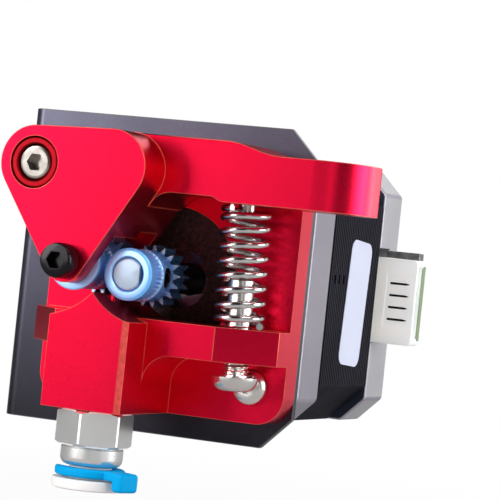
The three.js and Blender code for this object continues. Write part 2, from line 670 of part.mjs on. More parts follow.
function extruderBase() {
  const plate = prismY(
    roundedRectangle(-HALF_SIDE, HALF_SIDE, -HALF_SIDE, PLATE_TOP_Z, PLATE_CORNER_RADIUS),
    PLATE_FRONT_Y, -BRACKET_THICKNESS, 6,
  );
  const [chamferX, chamferY] = [BLOCK_RIGHT_X - BLOCK_EDGE, BLOCK_FRONT_Y + BLOCK_EDGE];
  const edgeTool = prismZ(polygon([
    [chamferX, BLOCK_FRONT_Y - 1], [chamferX, BLOCK_FRONT_Y], [BLOCK_RIGHT_X, chamferY],
    [BLOCK_RIGHT_X + 1, chamferY], [BLOCK_RIGHT_X + 1, BLOCK_FRONT_Y - 1],
  ]), BLOCK_BOTTOM_Z - 1, CROWN_Z + 1);
  const block = cut(prismY(blockOutline(), BLOCK_FRONT_Y, PLATE_FRONT_Y + 1, 8), edgeTool);
  const sinkRadius = M3_SUNK_HEAD_RADIUS + 0.2;
  const sinkEndY = PLATE_FRONT_Y + M3_SUNK_HEAD_HEIGHT + 0.2;
  const countersink = turnedY([
    [0, PLATE_FRONT_Y - 1], [sinkRadius, PLATE_FRONT_Y - 1], [sinkRadius, PLATE_FRONT_Y + 0.4],
    [M3_HOLE_RADIUS, sinkEndY], [0, sinkEndY],
  ], SMALL_ROUND);
  const countersinkTool = solid(geometryOf(countersink).translate(HOLE_OFFSET, 0, HOLE_OFFSET));
  return cut(
    join(plate, block, ledge(), ledgeFillet()),
    rodY(0, 0, WINDOW_RADIUS, PLATE_FRONT_Y - 0.01, 0, ROUND),
    ...toothRoom(),
    ...cornerHoles.map(({ x, z }) => rodY(x, z, M3_HOLE_RADIUS, PLATE_FRONT_Y - 1, 0)),
    countersinkTool,
    rodZ(SPRING_X, SPRING_Y, TENSION_SHANK_RADIUS + GAP, LEDGE_BOTTOM_Z - 1, LEDGE_TOP_Z + 1),
    rodZ(FILAMENT_X, FILAMENT_Y, FILAMENT_BORE_RADIUS, BLOCK_BOTTOM_Z - 1, 0, HOLE_ROUND),
    rodZ(
      FILAMENT_X, FILAMENT_Y, FITTING_STEM_RADIUS + 0.2, BLOCK_BOTTOM_Z - 1, FITTING_STEM_TOP_Z + 0.4,
    ),
  );
}

// ---------------------------------------------------------------- gears

function gearBody(bore) {
  const y = (s) => SHAFT_FRONT_Y + s;
  const profile = [
    [0, y(0)], [GEAR_BODY_RADIUS - EDGE_BREAK, y(0)], [GEAR_BODY_RADIUS, y(EDGE_BREAK)],
  ];
  const hobSteps = 4;
  for (let i = 0; i <= hobSteps; i++) {
    const t = -1 + (2 * i) / hobSteps;
    const radius = GEAR_BODY_RADIUS - HOB_DEPTH * Math.sqrt(1 - t * t);
    profile.push([radius, y(HOB_CENTRE + t * HOB_HALF_WIDTH)]);
  }
  profile.push([GEAR_BODY_RADIUS, y(TOOTH_FRONT)], [ROOT_RADIUS, y(TOOTH_FRONT)]);
  profile.push([ROOT_RADIUS, y(GEAR_LENGTH)], [0, y(GEAR_LENGTH)]);
  const boreTool = rodY(0, 0, bore, y(-1), y(GEAR_LENGTH + 1), SMALL_ROUND);
  return cut(turnedY(profile, ROUND), boreTool);
}

// Toothed ring with its first tooth turned to the given angle.
function gearTeeth(firstAngle) {
  const points = [];
  for (let i = 0; i < GEAR_TEETH; i++) {
    const angle = firstAngle + (i * 2 * Math.PI) / GEAR_TEETH;
    const [c, s] = [Math.cos(angle), Math.sin(angle)];
    const corners = [
      [ROOT_RADIUS, -ROOT_HALF_WIDTH], [TIP_RADIUS, -TIP_HALF_WIDTH],
      [TIP_RADIUS, TIP_HALF_WIDTH], [ROOT_RADIUS, ROOT_HALF_WIDTH],
    ];
    for (const [r, w] of corners) points.push([r * c - w * s, r * s + w * c]);
  }
  const ring = polygon(points);
  const hole = new THREE.Path();
  hole.absarc(0, 0, ROOT_RADIUS - 0.5, 0, 2 * Math.PI, true);
  ring.holes.push(hole);
  return prismY(ring, SHAFT_FRONT_Y + TOOTH_FRONT, SHAFT_FRONT_Y + GEAR_LENGTH, 8);
}

const toothPitch = (2 * Math.PI) / GEAR_TEETH;
const centreLine = Math.atan2(IDLER_Z, IDLER_X);

// The drive gear has a tooth on the line of centres; the idler has a gap there, turned a little
// so that its tooth bears on the upper flank and the lever can swing down without clashing.
const IDLER_PHASE = 0.028;

function driveGear() {
  const setScrewHole = rodX(SHAFT_FRONT_Y + SET_SCREW_AT, 0, M3_RADIUS + GAP, 1, 6);
  return cut(join(gearBody(SHAFT_RADIUS + GAP), gearTeeth(centreLine)), setScrewHole);
}

function idlerGear() {
  const firstAngle = centreLine + Math.PI + toothPitch / 2 + IDLER_PHASE;
  return join(gearBody(IDLER_BORE_RADIUS), gearTeeth(firstAngle));
}

function setScrew() {
  const y = SHAFT_FRONT_Y + SET_SCREW_AT;
  const socketRadius = 0.85;
  const body = rodX(y, 0, M3_RADIUS, SHAFT_FLAT + 0.05, GEAR_BODY_RADIUS - 0.3);
  const hex = new THREE.CylinderGeometry(socketRadius, socketRadius, 2, 6).rotateZ(Math.PI / 2);
  return cut(body, solid(hex.translate(GEAR_BODY_RADIUS, y, 0)));
}

// ---------------------------------------------------------------- lever

const earCircles = (inset) => [
  [IDLER_X, IDLER_Z, EAR_TIP_RADIUS - inset],
  [EAR_RIGHT_X, ARM_TOP_Z - EAR_RADIUS, EAR_RADIUS - inset],
  [PIVOT_X, PIVOT_Z, EAR_RADIUS],
];

// Side view of the arm: level along the top, then an S-bend down to the thinner handle.
function armElevation() {
  const bendMiddleX = (HANDLE_BEND_START_X + HANDLE_BEND_END_X) / 2;
  const webZ = ARM_BOTTOM_Z + ARM_UNDERSIDE_RISE;
  const [stepEndX, stepMiddleX, stepStartX] = [13.2, 12, 10.6];
  const [filletStartX, filletMiddleX, filletEndX] = [4.6, 2.34, 0.9];
  const insideEarX = EAR_RIGHT_X - 3;
  const shape = new THREE.Shape();
  shape.moveTo(EAR_RIGHT_X, ARM_TOP_Z);
  shape.lineTo(HANDLE_BEND_START_X, ARM_TOP_Z);
  shape.bezierCurveTo(
    bendMiddleX - 1, ARM_TOP_Z, bendMiddleX + 1, HANDLE_TOP_Z, HANDLE_BEND_END_X, HANDLE_TOP_Z,
  );
  shape.lineTo(HANDLE_END_X + 2, HANDLE_TOP_Z);
  shape.lineTo(HANDLE_END_X + 2, ARM_BOTTOM_Z);
  shape.lineTo(stepEndX, ARM_BOTTOM_Z);
  shape.bezierCurveTo(stepMiddleX, ARM_BOTTOM_Z, stepMiddleX, webZ, stepStartX, webZ);
  shape.lineTo(filletStartX, webZ);
  shape.quadraticCurveTo(filletMiddleX, webZ, filletEndX, ARM_ROOT_Z);
  shape.lineTo(insideEarX, ARM_ROOT_Z);
  return shape;
}

// Plan view of the arm: straight, with the handle's end rounded off towards the front.
function armPlan() {
  const insideEarX = EAR_RIGHT_X - 4.5;
  const [bulge, depth] = [HANDLE_END_X - HANDLE_CORNER_X, HANDLE_CORNER_Y - ARM_FRONT_Y];
  const shape = new THREE.Shape();
  shape.moveTo(insideEarX, ARM_FRONT_Y);
  shape.lineTo(HANDLE_CORNER_X, ARM_FRONT_Y);
  shape.absellipse(HANDLE_CORNER_X, HANDLE_CORNER_Y, bulge, depth, -Math.PI / 2, 0);
  shape.absarc(
    HANDLE_END_X - HANDLE_BACK_RADIUS, LEVER_BACK_Y - HANDLE_BACK_RADIUS, HANDLE_BACK_RADIUS,
    0, Math.PI / 2,
  );
  shape.lineTo(insideEarX, LEVER_BACK_Y);
  return shape;
}

function leverArm() {
  const elevation = prismY(armElevation(), ARM_FRONT_Y, LEVER_BACK_Y, 8);
  return elevation.intersect(prismZ(armPlan(), ARM_ROOT_Z - 2, ARM_TOP_Z + 2, 10));
}

function idlerLever() {
  const body = join(
    prismY(outlineAround(earCircles(0)), EAR_FRONT_Y, BRIDGE_BACK_Y, 10),
    prismY(outlineAround(earCircles(0.35)), BRIDGE_BACK_Y, LEVER_BACK_Y, 10),
    leverArm(),
  );
  const [left, right, below] = [BRACKET_LEFT_X, 10, -10];
  return cut(
    body,
    box(left, right, POCKET_FRONT_Y, POCKET_STEP_Y, below, POCKET_TOP_Z),
    box(left, right, POCKET_STEP_Y - 0.1, POCKET_BACK_Y, below, POCKET_TOP_AT_TEETH_Z),
    rodY(PIVOT_X, PIVOT_Z, PIVOT_BORE_RADIUS, EAR_FRONT_Y - 1, LEVER_BACK_Y + 1, ROUND),
    rodY(IDLER_X, IDLER_Z, M3_HOLE_RADIUS, EAR_FRONT_Y - 1, LEVER_BACK_Y + 1),
    rodZ(FILAMENT_X, FILAMENT_Y, 1.5, 0, ARM_TOP_Z + 1, HOLE_ROUND),
    rodZ(
      springAxisX(ARM_BOTTOM_Z), SPRING_Y, LOCATING_PIN_RADIUS + GAP,
      ARM_BOTTOM_Z - 1, ARM_BOTTOM_Z + 2.6, HOLE_ROUND,
    ),
  );
}

function pivotBushing() {
  const radius = PIVOT_BORE_RADIUS - 0.2;
  const headRoom = M3_CAP_HEAD_RADIUS + 0.3;
  const [front, back] = [EAR_FRONT_Y + 0.1, PLATE_FRONT_Y - 0.05];
  return cut(
    turnedY([[0, front], [radius - 0.2, front], [radius, front + 0.2], [radius, back], [0, back]]),
    rodY(0, 0, headRoom, front - 1, front + M3_CAP_HEAD_HEIGHT + 0.3, SMALL_ROUND),
    rodY(0, 0, M3_HOLE_RADIUS, front, 0, SMALL_ROUND),
  );
}

// ---------------------------------------------------------------- spring

// Where the leaning spring axis is at a height.
function springAxisX(z) {
  return SPRING_X - Math.tan(SPRING_LEAN) * (z - LEDGE_MIDDLE_Z);
}

class SpringPath extends THREE.Curve {
  constructor(zLow, zHigh) {
    super();
    this.zLow = zLow;
    this.zHigh = zHigh;
  }

  // The first and last turns are closed up; the turns between share the rest of the height.
  getPoint(t, target = new THREE.Vector3()) {
    const turn = t * SPRING_TURNS;
    const rest = this.zHigh - this.zLow - 2 * SPRING_END_PITCH;
    const middlePitch = rest / (SPRING_TURNS - 2);
    const first = Math.min(turn, 1) * SPRING_END_PITCH;
    const middle = Math.max(0, Math.min(turn, SPRING_TURNS - 1) - 1) * middlePitch;
    const last = Math.max(0, turn - (SPRING_TURNS - 1)) * SPRING_END_PITCH;
    const angle = 2 * Math.PI * turn;
    const z = this.zLow + first + middle + last;
    return target.set(
      springAxisX(z) + SPRING_COIL_RADIUS * Math.cos(angle),
      SPRING_Y + SPRING_COIL_RADIUS * Math.sin(angle),
      z,
    );
  }
}

function spring() {
  const margin = SPRING_WIRE_RADIUS + 0.05;
  const path = new SpringPath(LEDGE_TOP_Z + margin, ARM_BOTTOM_Z - margin);
  const wire = new THREE.Shape();
  wire.absarc(0, 0, SPRING_WIRE_RADIUS, 0, 2 * Math.PI);
  const steps = Math.round(SPRING_TURNS * 12);
  const geometry = new THREE.ExtrudeGeometry(wire, { steps, extrudePath: path, curveSegments: 3 });
  return solid(geometry);
}

function tensionScrew() {
  const [head, shank] = [TENSION_HEAD_RADIUS, TENSION_SHANK_RADIUS];
  const [tipZ, seatZ, headZ] = [TENSION_SCREW_TIP_Z, TENSION_SCREW_SEAT_Z, TENSION_SCREW_HEAD_Z];
  const body = turnedZ([
    [0, headZ], [head * 0.55, headZ], [head, seatZ - 0.7], [head, seatZ],
    [shank, seatZ], [shank, tipZ - 0.4], [shank - 0.4, tipZ], [0, tipZ],
  ], 0, 0, SMALL_ROUND);
  const socketRadius = 1.4;
  const socket = new THREE.CylinderGeometry(socketRadius, socketRadius, 3, 6).rotateX(Math.PI / 2);
  const screw = geometryOf(cut(body, solid(socket.translate(0, 0, headZ - 0.2))));
  screw.translate(0, 0, -LEDGE_MIDDLE_Z).rotateY(-SPRING_LEAN);
  return solid(screw.translate(SPRING_X, SPRING_Y, LEDGE_MIDDLE_Z));
}

// ---------------------------------------------------------------- tube fitting

function fittingBody() {
  const hexTopZ = BLOCK_BOTTOM_Z - 0.1;
  const collarTopZ = FITTING_HEX_BOTTOM_Z + 0.1;
  const [collar, stem] = [FITTING_COLLAR_RADIUS, FITTING_STEM_RADIUS];
  const hex = solid(geometryOf(prismZ(
    hexagon(FITTING_HEX_ACROSS_FLATS, FITTING_HEX_ANGLE), FITTING_HEX_BOTTOM_Z, hexTopZ,
  )).translate(FILAMENT_X, FILAMENT_Y, 0));
  const turned = turnedZ([
    [0, FITTING_BOTTOM_Z], [collar - 0.8, FITTING_BOTTOM_Z], [collar - 0.2, FITTING_BOTTOM_Z + 0.5],
    [collar, FITTING_BOTTOM_Z + 1.2], [collar, collarTopZ], [stem, collarTopZ],
    [stem, FITTING_STEM_TOP_Z], [0, FITTING_STEM_TOP_Z],
  ], FILAMENT_X, FILAMENT_Y);
  const tubeStopRadius = 1.2;
  return cut(
    join(hex, turned),
    rodZ(
      FILAMENT_X, FILAMENT_Y, tubeStopRadius, FITTING_BOTTOM_Z, FITTING_STEM_TOP_Z + 1, HOLE_ROUND,
    ),
    rodZ(
      FILAMENT_X, FILAMENT_Y, FITTING_SOCKET_RADIUS, FITTING_BOTTOM_Z - 1, FITTING_SOCKET_TOP_Z,
      HIDDEN_ROUND,
    ),
  );
}

function ringZ(inner, outer, zLow, zHigh) {
  return cut(
    rodZ(FILAMENT_X, FILAMENT_Y, outer, zLow, zHigh, HIDDEN_ROUND),
    rodZ(FILAMENT_X, FILAMENT_Y, inner, zLow - 1, zHigh + 1, HIDDEN_ROUND),
  );
}

function collet() {
  const sleeve = ringZ(
    COLLET_BORE_RADIUS, COLLET_SLEEVE_RADIUS, COLLET_BOTTOM_Z, COLLET_SLEEVE_TOP_Z,
  );
  const rim = COLLET_FLANGE_RADIUS;
  const flange = turnedZ([
    [0, COLLET_BOTTOM_Z], [rim - 0.4, COLLET_BOTTOM_Z], [rim, COLLET_BOTTOM_Z + 0.4],
    [rim, COLLET_FLANGE_TOP_Z - 0.2], [rim - 0.2, COLLET_FLANGE_TOP_Z], [0, COLLET_FLANGE_TOP_Z],
  ], FILAMENT_X, FILAMENT_Y);
  const bore = rodZ(
    FILAMENT_X, FILAMENT_Y, COLLET_BORE_RADIUS, COLLET_BOTTOM_Z - 1, 0, HIDDEN_ROUND,
  );
  return cut(join(sleeve, flange), bore);
}

function colletClip() {
  const { inner, outer, halfWidth, drop } = CLIP_HANDLE;
  const disc = new THREE.Shape();
  disc.absarc(0, 0, CLIP_OUTER_RADIUS, 0, 2 * Math.PI);
  const mouthX = -CLIP_OUTER_RADIUS - 1;
  const slot = new THREE.Shape();
  slot.moveTo(mouthX, -CLIP_HALF_SLOT);
  slot.lineTo(0, -CLIP_HALF_SLOT);
  slot.absarc(0, 0, CLIP_HALF_SLOT, -Math.PI / 2, Math.PI / 2);
  slot.lineTo(mouthX, CLIP_HALF_SLOT);
  const fork = cut(
    prismZ(disc, CLIP_BOTTOM_Z, CLIP_TOP_Z, 14),
    prismZ(slot, CLIP_BOTTOM_Z - 1, CLIP_TOP_Z + 1),
  );
  const handle = join(
    box(CLIP_OUTER_RADIUS - 0.9, inner + 0.5, -halfWidth, halfWidth, CLIP_BOTTOM_Z, CLIP_TOP_Z),
    box(inner, outer, -halfWidth, halfWidth, CLIP_BOTTOM_Z - drop, CLIP_TOP_Z),
  );
  const geometry = geometryOf(join(fork, handle)).rotateZ(CLIP_ANGLE);
  return solid(geometry.translate(FILAMENT_X, FILAMENT_Y, 0));
}

// ---------------------------------------------------------------- scene graph

const finish = (color, roughness, metalness) => ({ color, roughness, metalness });
const RED = finish(0xd8102e, 0.35, 0.6);
const DARK_SHEET = finish(0x45424c, 0.6, 0.3);
const CAST = finish(0xa9a6b0, 0.45, 0.8);
const LAMINATION = finish(0x1d1d24, 0.6, 0.4);
const STEEL = finish(0xc8c9cc, 0.25, 1);
const BLACK_STEEL = finish(0x151517, 0.4, 0.6);
const COPPER = finish(0xa85a2c, 0.4, 0.9);
const WHITE_PLASTIC = finish(0xeceeee, 0.5, 0);
const BLUE_PLASTIC = finish(0x0c9be8, 0.4, 0);
const LABEL_PAPER = finish(0xe4e4f4, 0.6, 0);
const MAGNET = finish(0x55565c, 0.5, 0.7);
const RUBBER = finish(0x1a1a1a, 0.8, 0);

function piece(name, manifold, look, position = [0, 0, 0]) {
  const material = new THREE.MeshStandardMaterial({ ...look, flatShading: true });
  const mesh = new THREE.Mesh(geometryOf(manifold), material);
  mesh.name = name;
  mesh.position.set(...position);
  return mesh;
}

function group(...children) {
  const g = new THREE.Group();
  g.add(...children);
  return g;
}

function motorGroup() {
  const bearing = () => ringY(SHAFT_RADIUS + GAP, BEARING_RADIUS, 0, BEARING_WIDTH, HIDDEN_ROUND);
  const waveWasherY = REAR_BEARING_Y + BEARING_WIDTH + 0.2;
  const motor = group(
    piece("motor_front_cap", motorFrontCap(), CAST),
    piece("motor_stator", motorStator(), LAMINATION),
    piece("motor_rear_cap", motorRearCap(), CAST),
    piece("motor_label", motorLabel(), LABEL_PAPER),
    piece("front_bearing", bearing(), STEEL, [0, FRONT_BEARING_Y, 0]),
    piece("rear_bearing", bearing(), STEEL, [0, REAR_BEARING_Y, 0]),
    piece("bearing_wave_washer", ringY(5.6, 7.8, 0, 0.35, HIDDEN_ROUND), STEEL, [0, waveWasherY, 0]),
    piece("connector_housing", connectorHousing(), WHITE_PLASTIC),
  );
  for (let i = 0; i < POLE_COUNT; i++) {
    motor.add(piece(`motor_coil_${i + 1}`, motorCoil(i), COPPER));
  }
  for (let i = 0; i < CONNECTOR_PIN_COUNT; i++) {
    motor.add(piece(`connector_pin_${i + 1}`, connectorPin(i), STEEL));
  }
  const seatY = MOTOR_LENGTH - CASE_SCREW_RECESS + 0.05;
  cornerHoles.forEach(({ x, z }, i) => {
    motor.add(piece(`motor_case_screw_${i + 1}`, motorCaseScrew(), STEEL, [x, seatY, z]));
  });
  return motor;
}

function fixedGroup() {
  const seatY = PLATE_FRONT_Y - 0.05;
  const length = THREAD_DEPTH_IN_MOTOR - seatY;
  const boltSeatY = EAR_FRONT_Y + 0.1 + M3_CAP_HEAD_HEIGHT + 0.25;
  const boltLength = THREAD_DEPTH_IN_MOTOR - boltSeatY;
  return group(
    motorGroup(),
    piece("mounting_bracket", mountingBracket(), DARK_SHEET),
    piece("extruder_base", extruderBase(), RED),
    piece("base_screw_lower_right", buttonScrew(length), STEEL, [HOLE_OFFSET, seatY, -HOLE_OFFSET]),
    piece("base_screw_lower_left", buttonScrew(length), STEEL, [-HOLE_OFFSET, seatY, -HOLE_OFFSET]),
    piece("base_screw_upper_right", countersunkScrew(length - 0.15), STEEL,
      [HOLE_OFFSET, seatY + 0.15, HOLE_OFFSET]),
    piece("pivot_bushing", pivotBushing(), RED, [PIVOT_X, 0, PIVOT_Z]),
    piece("pivot_screw", capScrew(boltLength), STEEL, [PIVOT_X, boltSeatY, PIVOT_Z]),
    piece("spring", spring(), STEEL),
    piece("tension_screw", tensionScrew(), STEEL),
    piece("fitting_body", fittingBody(), STEEL),
    piece("fitting_seal", ringZ(2.2, 3.6, ...SEAL_Z), RUBBER),
  );
}

function shaftGroup() {
  const [coreLength, magnetRadius, magnetLength] = [8.4, 11.5, 1.8];
  const bore = SHAFT_RADIUS + GAP;
  const core = () => ringY(bore, ROTOR_RADIUS, 0, coreLength, ROUND);
  const magnet = ringY(bore, magnetRadius, 0, magnetLength, ROUND);
  const coreY = 10.5;
  const magnetY = coreY + coreLength + 0.2;
  return group(
    piece("motor_shaft", motorShaft(), STEEL),
    piece("rotor_core_front", core(), LAMINATION, [0, coreY, 0]),
    piece("rotor_magnet", magnet, MAGNET, [0, magnetY, 0]),
    piece("rotor_core_rear", core(), LAMINATION, [0, magnetY + magnetLength + 0.2, 0]),
    piece("drive_gear", driveGear(), STEEL),
    piece("drive_gear_set_screw", setScrew(), BLACK_STEEL),
  );
}

function idlerGroup() {
  const bearing = () => ringY(M3_HOLE_RADIUS, IDLER_BORE_RADIUS - GAP, 0, 4.5, SMALL_ROUND);
  const idler = group(
    piece("idler_gear", idlerGear(), STEEL),
    piece("idler_needle_bearing_front", bearing(), STEEL, [0, SHAFT_FRONT_Y + 0.5, 0]),
    piece("idler_needle_bearing_rear", bearing(), STEEL, [0, SHAFT_FRONT_Y + 7.6, 0]),
  );
  idler.position.set(IDLER_X, 0, IDLER_Z);
  return idler;
}

function leverGroup() {
  const washer = () => ringY(M3_HOLE_RADIUS, 4.3, 0, WASHER_THICKNESS, HIDDEN_ROUND);
  const axleSeatY = EAR_FRONT_Y - 0.05;
  const axleLength = LEVER_BACK_Y - 0.15 - axleSeatY;
  const gearBackY = SHAFT_FRONT_Y + GEAR_LENGTH;
  const frontWasherY = SHAFT_FRONT_Y - GAP - WASHER_THICKNESS;
  const pinBottomZ = ARM_BOTTOM_Z - 2.1;
  const pinTopZ = ARM_BOTTOM_Z + 2.5;
  const locatingPin = rodZ(
    springAxisX(ARM_BOTTOM_Z), SPRING_Y, LOCATING_PIN_RADIUS, pinBottomZ, pinTopZ, HOLE_ROUND,
  );
  return group(
    idlerGroup(),
    piece("idler_lever", idlerLever(), RED),
    piece("idler_axle_screw", capScrew(axleLength), BLACK_STEEL, [IDLER_X, axleSeatY, IDLER_Z]),
    piece("thrust_washer_front", washer(), STEEL, [IDLER_X, frontWasherY, IDLER_Z]),
    piece("thrust_washer_rear", washer(), STEEL, [IDLER_X, gearBackY + GAP / 2, IDLER_Z]),
    piece("spring_locating_pin", locatingPin, STEEL),
  );
}

function colletGroup() {
  return group(
    piece("tube_collet", collet(), WHITE_PLASTIC),
    piece("collet_grip_ring", ringZ(2.3, 3.6, ...GRIP_RING_Z), STEEL),
    piece("collet_clip", colletClip(), BLUE_PLASTIC),
  );
}

const extruder = group(fixedGroup(), shaftGroup(), leverGroup(), colletGroup());
extruder.position.y = -MOTOR_LENGTH;

export default group(extruder);
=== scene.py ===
"""Looks of a geared filament extruder on a stepper motor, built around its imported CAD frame."""

import json
import math

import bmesh
import bpy
from mathutils import Matrix, Vector


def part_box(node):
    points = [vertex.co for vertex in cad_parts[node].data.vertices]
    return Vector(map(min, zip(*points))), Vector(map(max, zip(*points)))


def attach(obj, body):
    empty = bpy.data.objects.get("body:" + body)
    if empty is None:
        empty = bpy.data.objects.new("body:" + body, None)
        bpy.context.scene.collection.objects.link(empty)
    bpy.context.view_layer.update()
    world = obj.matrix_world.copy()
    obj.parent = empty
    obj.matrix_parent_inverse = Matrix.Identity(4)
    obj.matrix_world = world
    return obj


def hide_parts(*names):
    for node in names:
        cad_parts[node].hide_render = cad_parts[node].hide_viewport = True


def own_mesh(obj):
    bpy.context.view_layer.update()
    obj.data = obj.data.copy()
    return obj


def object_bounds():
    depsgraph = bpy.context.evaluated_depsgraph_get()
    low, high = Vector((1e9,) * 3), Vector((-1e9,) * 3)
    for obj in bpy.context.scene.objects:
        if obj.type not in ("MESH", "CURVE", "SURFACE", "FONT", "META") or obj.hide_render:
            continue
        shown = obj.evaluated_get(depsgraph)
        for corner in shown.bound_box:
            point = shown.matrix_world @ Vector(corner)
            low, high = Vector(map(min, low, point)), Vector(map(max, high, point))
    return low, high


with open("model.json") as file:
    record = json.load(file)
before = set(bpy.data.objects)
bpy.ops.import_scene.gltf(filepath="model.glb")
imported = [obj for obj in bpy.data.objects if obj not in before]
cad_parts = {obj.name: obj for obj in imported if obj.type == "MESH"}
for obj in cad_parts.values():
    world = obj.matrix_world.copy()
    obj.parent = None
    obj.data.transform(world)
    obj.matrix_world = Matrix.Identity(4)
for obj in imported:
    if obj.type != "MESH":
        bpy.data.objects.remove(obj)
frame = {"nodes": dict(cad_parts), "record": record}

CAD_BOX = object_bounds()
MM = 0.001

# ---- sizes, in millimetres
# Design frame: the shaft axis meets the motor's front face at the origin, gears towards -Y.

PILOT_HEIGHT = 2
FACE_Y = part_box("motor_front_cap")[0].y / MM + PILOT_HEIGHT


def cad(node):
    """Lowest and highest corner of a CAD node, in the design frame."""
    shift = Vector((0, FACE_Y, 0))
    low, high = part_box(node)
    return low / MM - shift, high / MM - shift


HALF_SIDE = cad("motor_front_cap")[1].x
MOTOR_LENGTH = cad("motor_rear_cap")[1].y
FRONT_CAP_END = cad("motor_stator")[0].y
REAR_CAP_START = cad("motor_stator")[1].y
HOLE_OFFSET = 15.5
SCREW_HOLE = 1.7
BEARING_SEAT = 8.15
ROTOR_SPACE = 18.2
CAP_CHAMFER = 4
STATOR_CHAMFER = 6.2
PILOT_RADIUS = 11
SHAFT_RADIUS = 2.5
SHAFT_FLAT = 2
SHAFT_FRONT_Y = cad("motor_shaft")[0].y
LAMINATION_PITCH = 0.8

SHEET = 1.2
BRACKET_LOW, BRACKET_HIGH = cad("mounting_bracket")
BEND_INNER_RADIUS = 1
BRACKET_CHAMFER = 5
SLOT_ROWS = (14, 36)
SLOT_RADIUS = 2.25
SLOT_TRAVEL = 4

PLATE_FRONT_Y = -5.6
PLATE_TOP_Z = cad("extruder_base")[1].z
WINDOW_RADIUS = 11.25
BLOCK_LEFT_X, BLOCK_RIGHT_X = -11.2, 1.9
BLOCK_FRONT_Y = cad("extruder_base")[0].y
BLOCK_SHOULDER_Z = -7.15
CROWN_X, CROWN_Z = -4.35, -3.2
CROWN_HOLLOW = 2
BLOCK_EDGE = 0.7
LEDGE_LOW_Z, LEDGE_TOP_Z = -11.8, -6.5
LEDGE_FRONT_Y = -16.5
LEDGE_LEFT_X, LEDGE_LEFT_SLANT_X, LEDGE_SLANT_X = -20.6, -14, 13.2
LEDGE_END_Y = -9.9
LEDGE_FILLET = 4.5

TEETH = 17
TIP_RADIUS = 4.85
ROOT_RADIUS = 3.75
TIP_HALF_WIDTH = 0.09
ROOT_HALF_WIDTH = 0.47
GEAR_RADIUS = 4
GEAR_LENGTH = 12.6
TOOTH_START = 8.5
FLUTE_START = 5.8
HOB_CENTRE = 3.3
HOB_HALF_WIDTH = 1.3
HOB_DEPTH = 0.35
KNURL_DEPTH = 0.16
SET_SCREW_AT = 6.5
IDLER_X, IDLER_Z = -8.75, 1.05
IDLER_PHASE = 0.028

PIVOT_X, PIVOT_Z = -HOLE_OFFSET, HOLE_OFFSET
EAR_FRONT_Y = cad("idler_lever")[0].y
LEVER_BACK_Y = cad("idler_lever")[1].y
ARM_FRONT_Y = -18.5
BRIDGE_BACK_Y = -16
ARM_TOP_Z = cad("idler_lever")[1].z
ARM_BOTTOM_Z = 12.3
ARM_WEB_Z = 13
ARM_ROOT_Z = 10.6
HANDLE_TOP_Z = 19.9
HANDLE_END_X = cad("idler_lever")[1].x
EAR_RADIUS = 5.7
EAR_TIP_RADIUS = 3.25
EAR_RIGHT_X = -2.55
PIVOT_BORE = 4

SPRING_X, SPRING_Y = 15.05, -11.6
SPRING_LEAN = math.radians(2)
LEDGE_MIDDLE_Z = (LEDGE_LOW_Z + LEDGE_TOP_Z) / 2
SPRING_RADIUS = 3.45
WIRE_RADIUS = 0.55
SPRING_TURNS = 8.7
SPRING_END_PITCH = 1.2

FILAMENT_X = IDLER_X / 2
FILAMENT_Y = SHAFT_FRONT_Y + HOB_CENTRE
HEX_ACROSS_FLATS = 10.4
HEX_ANGLE = math.radians(33)
HEX_LOW_Z = -26.7
COLLAR_RADIUS = 4.8
COLLAR_LOW_Z = -29.8
CLIP_ANGLE = math.radians(-20)
COLLET_RIM_RADIUS = 5.75

CONNECTOR_LOW, CONNECTOR_HIGH = cad("connector_housing")
CONNECTOR_Z = -0.4
CONNECTOR_TOP_Z = 6.75
PIN_PITCH = 2
SLIT_START_X, SLIT_END_X = 23.4, 27

LABEL_Y, LABEL_Z = 21.4, -1.3
LABEL_WIDTH, LABEL_HEIGHT = 9.4, 20.4
LABEL_CORNER = 1.8
LABEL_TILT = math.radians(4)

BODY_OF = {n: body for body, nodes in frame["record"]["behaviour"]["bodies"].items() for n in nodes}
SLOT_OF = {s["node"]: s["material_slot"] for s in frame["record"]["subparts"]}
CORNERS = [(sx * HOLE_OFFSET, sz * HOLE_OFFSET) for sx, sz in ((1, 1), (-1, 1), (-1, -1), (1, -1))]


# ---- materials

def feed(tree, target, inputs):
    """Fills a node's inputs, each with a plain value or another node's socket."""
    for key, value in inputs.items():
        if isinstance(value, bpy.types.NodeSocket):
            tree.links.new(value, target.inputs[key])
        else:
            target.inputs[key].default_value = value
    return target


def shader_node(tree, kind, inputs, **settings):
    made = tree.nodes.new("ShaderNode" + kind)
    for key, value in settings.items():
        setattr(made, key, value)
    return feed(tree, made, inputs)


def mixed(tree, factor, first, second):
    """Colour between first and second, by a factor socket."""
    mix = shader_node(tree, "Mix", {"Factor": factor, "A": first, "B": second}, data_type="RGBA")
    return mix.outputs["Result"]


def own_place(tree):
    """The shaded spot in the piece's own metres."""
    return shader_node(tree, "TexCoord", {}).outputs["Object"]


def noise(tree, scale, stretch=(1, 1, 1), detail=4):
    """Noise in the piece's own metres; stretch shortens it along an axis."""
    mapping = shader_node(tree, "Mapping", {"Vector": own_place(tree), "Scale": stretch})
    vector = mapping.outputs["Vector"]
    texture = shader_node(tree, "TexNoise", {"Vector": vector, "Scale": scale, "Detail": detail})
    return texture.outputs["Fac"]


def ranged(tree, value, low, high, start=0.3, end=0.7, way="LINEAR"):
    """Maps start..end, which is a noise value's usual span, to low..high."""
    inputs = {"Value": value, "From Min": start, "From Max": end, "To Min": low, "To Max": high}
    return shader_node(tree, "MapRange", inputs, interpolation_type=way).outputs["Result"]


